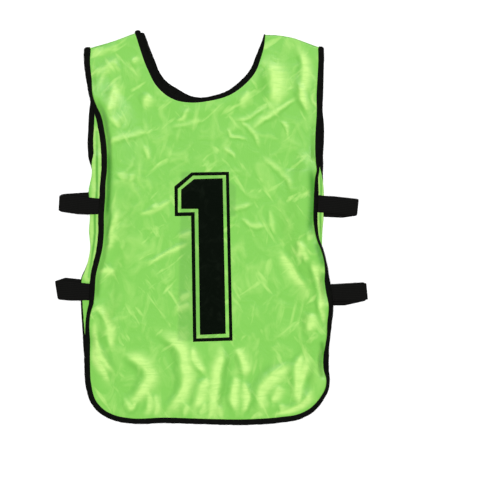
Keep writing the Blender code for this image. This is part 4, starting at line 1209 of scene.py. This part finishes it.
# Sections from the front's edge to the outer fold, the fold, and sections under the back:
# x and y of the top edge, x and y of the bottom edge, and the height
straps = {
    "upperLeft": {
        "node": "strap_upper_left",
        "front": [(-148.5, 40.2, -149.5, 18.9, 4.75), (-156, 40.6, -157, 18.7, 4.95),
                  (-169.5, 42, -170, 18.2, 5.3),
                  (-182, 43.5, -183, 18.8, 4.4), (-206, 45.8, -207, 22.8, 2.1)],
        "fold": (-207.9, 45.8, -209.3, 22.5),
        "back": [(-199, 47, -199.5, 24.6, 0.5), (-160.5, 49.4, -160.5, 27.2, 0.5)],
    },
    "lowerLeft": {
        "node": "strap_lower_left",
        "front": [(-161, -76.2, -162, -99.2, 4.95), (-169, -76, -170, -99, 5.2),
                  (-181, -74.6, -181.5, -99.4, 5.5),
                  (-192, -73.4, -193, -99.4, 4.6), (-212, -72.4, -209.5, -98.2, 2.1)],
        "fold": (-214.3, -72.3, -210.2, -98),
        "back": [(-200, -68, -198, -91, 0.5), (-172.5, -70.8, -171.5, -93.4, 0.5)],
    },
    "upperRight": {
        "node": "strap_upper_right",
        "front": [(140.8, 45, 140, 21.5, 4.95), (148, 44.8, 147.4, 21.2, 5.1),
                  (155.8, 43.9, 155.6, 20.6, 5.3),
                  (168, 43.4, 168, 19.8, 4.4), (200.2, 41, 198.6, 17.2, 2.1)],
        "fold": (202.3, 39.8, 199.8, 16.6),
        "back": [(180, 36.4, 179.7, 13.9, 0.5), (147.5, 38, 147, 15.4, 0.5)],
    },
    "lowerRight": {
        "node": "strap_lower_right",
        "front": [(159.5, -76.8, 160.5, -100.6, 4.2), (167.5, -76.8, 168.4, -100.2, 4.9),
                  (176, -76.2, 176.5, -100.2, 5.1),
                  (210, -74.4, 212.6, -99.4, 2.1)],
        "fold": (212.3, -74.2, 214.8, -99.4),
        "back": [(184, -83.6, 183, -106.2, 0.5), (154.5, -84, 154.5, -106.4, 0.5)],
    },
}
strapSizes = {
    "thickness": 0.9,
    "width": 24.0,
    "underside": 30.0,  # where the underside starts on the ribs' map
    "foldRadius": 0.8,
    "foldInset": 0.5,
    "foldTurns": 9,
    "foldKept": 6.0,  # this near to the fold the path isn't softened
    "seed": 20,
    "step": 1.2,
    "across": 18,  # points across
    "edgeSag": 0.25,
    "corner": 2.4,
    "underLevel": 0.5,  # middle of the part that lies under the back
    "floorClear": 0.03,
}


def strapPath(rows):
    fold = np.array(rows["fold"], float)
    sign = math.copysign(1.0, fold[0])
    radius = strapSizes["foldRadius"]
    path = [np.array(row, float) for row in rows["front"][:-1]]
    for turn in np.linspace(0.0, math.pi, strapSizes["foldTurns"]):
        reach = sign * (radius * math.sin(turn) - radius - strapSizes["foldInset"])
        path.append(np.array([fold[0] + reach, fold[1], fold[2] + reach, fold[3],
                              strapSizes["underLevel"] + radius * (1.0 + math.cos(turn))]))
    path += [np.array(row, float) for row in rows["back"]]
    path = np.array(path)
    middle = np.column_stack([(path[:, 0] + path[:, 2]) / 2, (path[:, 1] + path[:, 3]) / 2,
                              path[:, 4]])
    along = np.r_[0.0, np.cumsum(np.linalg.norm(np.diff(middle, axis=0), axis=1))]
    at = np.unique(np.r_[np.arange(0.0, along[-1], strapSizes["step"]), along])
    made = np.column_stack([np.interp(at, along, column) for column in path.T])
    for column in range(5):  # rounds the corners of the path outside the fold
        soft = np.convolve(np.r_[[made[0, column]] * 2, made[:, column], [made[-1, column]] * 2],
                           [0.15, 0.2, 0.3, 0.2, 0.15], "valid")
        keep = np.abs(np.abs(made[:, 0]) - abs(fold[0])) < strapSizes["foldKept"]
        made[:, column] = np.where(keep, made[:, column], soft)
    return made, at


def makeStrap(name, rows, seed):
    made, at = strapPath(rows)
    top = np.column_stack([made[:, 0], made[:, 1], made[:, 4]])
    bottom = np.column_stack([made[:, 2], made[:, 3], made[:, 4]])
    run = np.gradient((top + bottom) / 2, axis=0)
    across = bottom - top
    normal = np.cross(run, across)
    normal /= np.linalg.norm(normal, axis=1)[:, None]
    if normal[0, 2] < 0:
        normal = -normal
    short = np.abs(top[:, 0]).max() - np.maximum(np.abs(top[:, 0]), np.abs(bottom[:, 0]))
    toTip = np.clip(short / strapSizes["corner"], 0.0, 1.0)
    inset = strapSizes["corner"] * 0.6 * (1.0 - np.sqrt(1.0 - (1.0 - toTip) ** 2 * 0.999))
    unit = across / np.linalg.norm(across, axis=1)[:, None]
    top = top + unit * inset[:, None]
    across = across - 2 * unit * inset[:, None]
    count = strapSizes["across"]
    shares = np.linspace(0.0, 1.0, count)
    loop = [(s, 1.0) for s in shares] + [(s, -1.0) for s in shares[::-1]]
    dice = np.random.default_rng(seed)
    phase = dice.uniform(0, 6.3, 2)
    points = []
    uv = []
    for k in range(len(made)):
        for share, face in loop:
            inset = min(share, 1.0 - share) * np.linalg.norm(across[k])
            thick = strapSizes["thickness"] / 2 * math.sqrt(min(1.0, inset / 0.7 + 0.15))
            sag = strapSizes["edgeSag"] * (2 * share - 1) ** 2
            sag *= math.sin(at[k] / 13 + phase[int(share > 0.5)])
            sag *= min(1.0, max(0.0, made[k, 4] - 1.2))
            point = top[k] + across[k] * share + normal[k] * (thick * face) + (0, 0, sag)
            points.append((point[0], point[1], max(point[2], strapSizes["floorClear"])))
            along = share * strapSizes["width"] + (face < 0) * strapSizes["underside"]
            uv.append((at[k] * millimetre, along * millimetre))
    faces = tubeFaces(len(made), len(loop))
    return makePiece(name, points, faces, elasticLook, rows["node"], uv=uv)


strapPieces = {name: makeStrap("strap" + name[0].upper() + name[1:], rows, number + strapSizes["seed"])
               for number, (name, rows) in enumerate(straps.items())}
print("bib: straps are on")


stitches = {
    "length": 2.3,
    "gap": 0.8,
    "radius": 0.19,
    "fromEdge": 1.35,
    "level": 0.84,  # share of the tape's half thickness, where its dip is
    "start": 2.0,
    "sides": 5,
    # rings along one stitch: how far along, how much lower and how much of its radius
    "rings": [(0.0, 0.16, 0.45), (0.25, 0.0, 1.0), (0.75, 0.0, 1.0), (1.0, 0.16, 0.45)],
}


# Lockstitches as short rounded dashes that lie in the tape's dip
def makeStitches(name, rows, look):
    points = []
    faces = []
    sides = stitches["sides"]
    for line, tops in rows:
        along = lengthsAlong(line)
        step = stitches["length"] + stitches["gap"]
        for start in np.arange(stitches["start"], along[-1] - step, step):
            ring = []
            for far, drop, _ in stitches["rings"]:
                at = start + far * stitches["length"]
                x, y, z = (np.interp(at, along, row) for row in (*line.T, tops))
                ring.append(np.array([x, y, z - drop]))
            run = ring[-1] - ring[0]
            side = np.array([run[1], -run[0], 0.0])
            side /= np.linalg.norm(side) + 1e-9
            first = len(points)
            for spot, (_, _, share) in zip(ring, stitches["rings"]):
                size = stitches["radius"] * share
                for turn in range(sides):
                    angle = turn * 2 * math.pi / sides
                    rise = np.array([0, 0, size * math.sin(angle)])
                    points.append(spot + side * size * math.cos(angle) + rise)
            for i in range(len(ring) - 1):
                for j in range(sides):
                    a = first + i * sides + j
                    b = first + i * sides + (j + 1) % sides
                    faces.append((a, b, b + sides, a + sides))
            faces.append(tuple(first + j for j in reversed(range(sides))))
            faces.append(tuple(first + (len(ring) - 1) * sides + j for j in range(sides)))
    return makePiece(name, points, faces, look)


# The middle line of one tape's stitching and its height
def tapeStitchLine(made):
    line = lineOf(made)
    _, slope, flat = tapeLean(made)
    u = stitches["fromEdge"]
    v = tapeSizes["thickness"] / 2 * stitches["level"]
    sideways = tapeSizes["gap"] + 0.5 * tapeSizes["thickness"] * slope + u * flat + v * slope
    tops = made["low"] + made["hang"] - u * slope + v * flat
    return line + outwardOf(line) * sideways[:, None], tops


sewnLines = [tapeStitchLine(made) for made in (frontSide, frontNeck, backNeck)]
tapeStitching = makeStitches("tapeStitching", sewnLines, threadLook)
print("bib: sewing is done")


studio = {
    "floor": "#F4F4F4",
    "floorLight": "#F7F7F7",
    "floorGrain": 25.0,
    "floorHalf": 6.0,  # metres
    "worldStrength": 0.18,
    "cameraHeight": 4.2,
    "sensorWidth": 36.0,  # mm
    "frameWidth": 0.685,
    "frameMiddle": (0.0531, -0.0302),
    # name: place, size, power, and whether it fills the cloth's colour or only its gloss
    "lights": {
        "overhead": ((0.0, 0.1, 3.4), 1.4, 130.0, "fill"),
        "softboxLeft": ((-1.0, 1.8, 2.5), 1.1, 36.0, "gloss"),
        "softboxRight": ((1.3, 1.5, 2.5), 1.1, 36.0, "gloss"),
    },
}


# A matt near-white floor, soft light from above, and a camera that looks straight down
def makeStudio():
    floorMesh = bpy.data.meshes.new("floor")
    half = studio["floorHalf"]
    corners = [(-half, -half, 0), (half, -half, 0), (half, half, 0), (-half, half, 0)]
    floorMesh.from_pydata(corners, [], [(0, 1, 2, 3)])
    material = newMaterial("matFloorPaint", {"Roughness": 0.9, "Specular IOR Level": 0.1})
    dress(material, addDrift(material, studio["floorGrain"], 3.0, studio["floor"],
                             studio["floorLight"]))
    floorMesh.materials.append(material)
    floor = bpy.data.objects.new("floor", floorMesh)
    bpy.context.scene.collection.objects.link(floor)

    world = bpy.data.worlds.new("studio")
    world.use_nodes = True
    background = world.node_tree.nodes["Background"]
    background.inputs["Color"].default_value = (1.0, 1.0, 1.0, 1.0)
    background.inputs["Strength"].default_value = studio["worldStrength"]
    bpy.context.scene.world = world

    for name, (spot, size, power, work) in studio["lights"].items():
        lamp = bpy.data.lights.new(name, "AREA")
        lamp.shape = "SQUARE"
        lamp.size = size
        lamp.energy = power
        light = bpy.data.objects.new(name, lamp)
        light.location = spot
        aim = -np.array(spot)  # every light looks at the bib's middle
        light.rotation_euler = (
            math.atan2(math.hypot(aim[0], aim[1]), -aim[2]),
            0.0,
            math.atan2(aim[1], aim[0]) - math.pi / 2,
        )
        light.visible_camera = False
        light.visible_glossy = work == "gloss"
        light.visible_diffuse = work == "fill"
        bpy.context.scene.collection.objects.link(light)

    lens = bpy.data.cameras.new("camera")
    lens.sensor_width = studio["sensorWidth"]
    lens.lens = studio["sensorWidth"] * studio["cameraHeight"] / studio["frameWidth"]
    lens.clip_end = 50.0
    camera = bpy.data.objects.new("camera", lens)
    camera.location = (*studio["frameMiddle"], studio["cameraHeight"])
    bpy.context.scene.collection.objects.link(camera)
    bpy.context.scene.camera = camera
    bpy.context.scene.view_settings.view_transform = "Standard"


makeStudio()
print("bib: studio is lit")
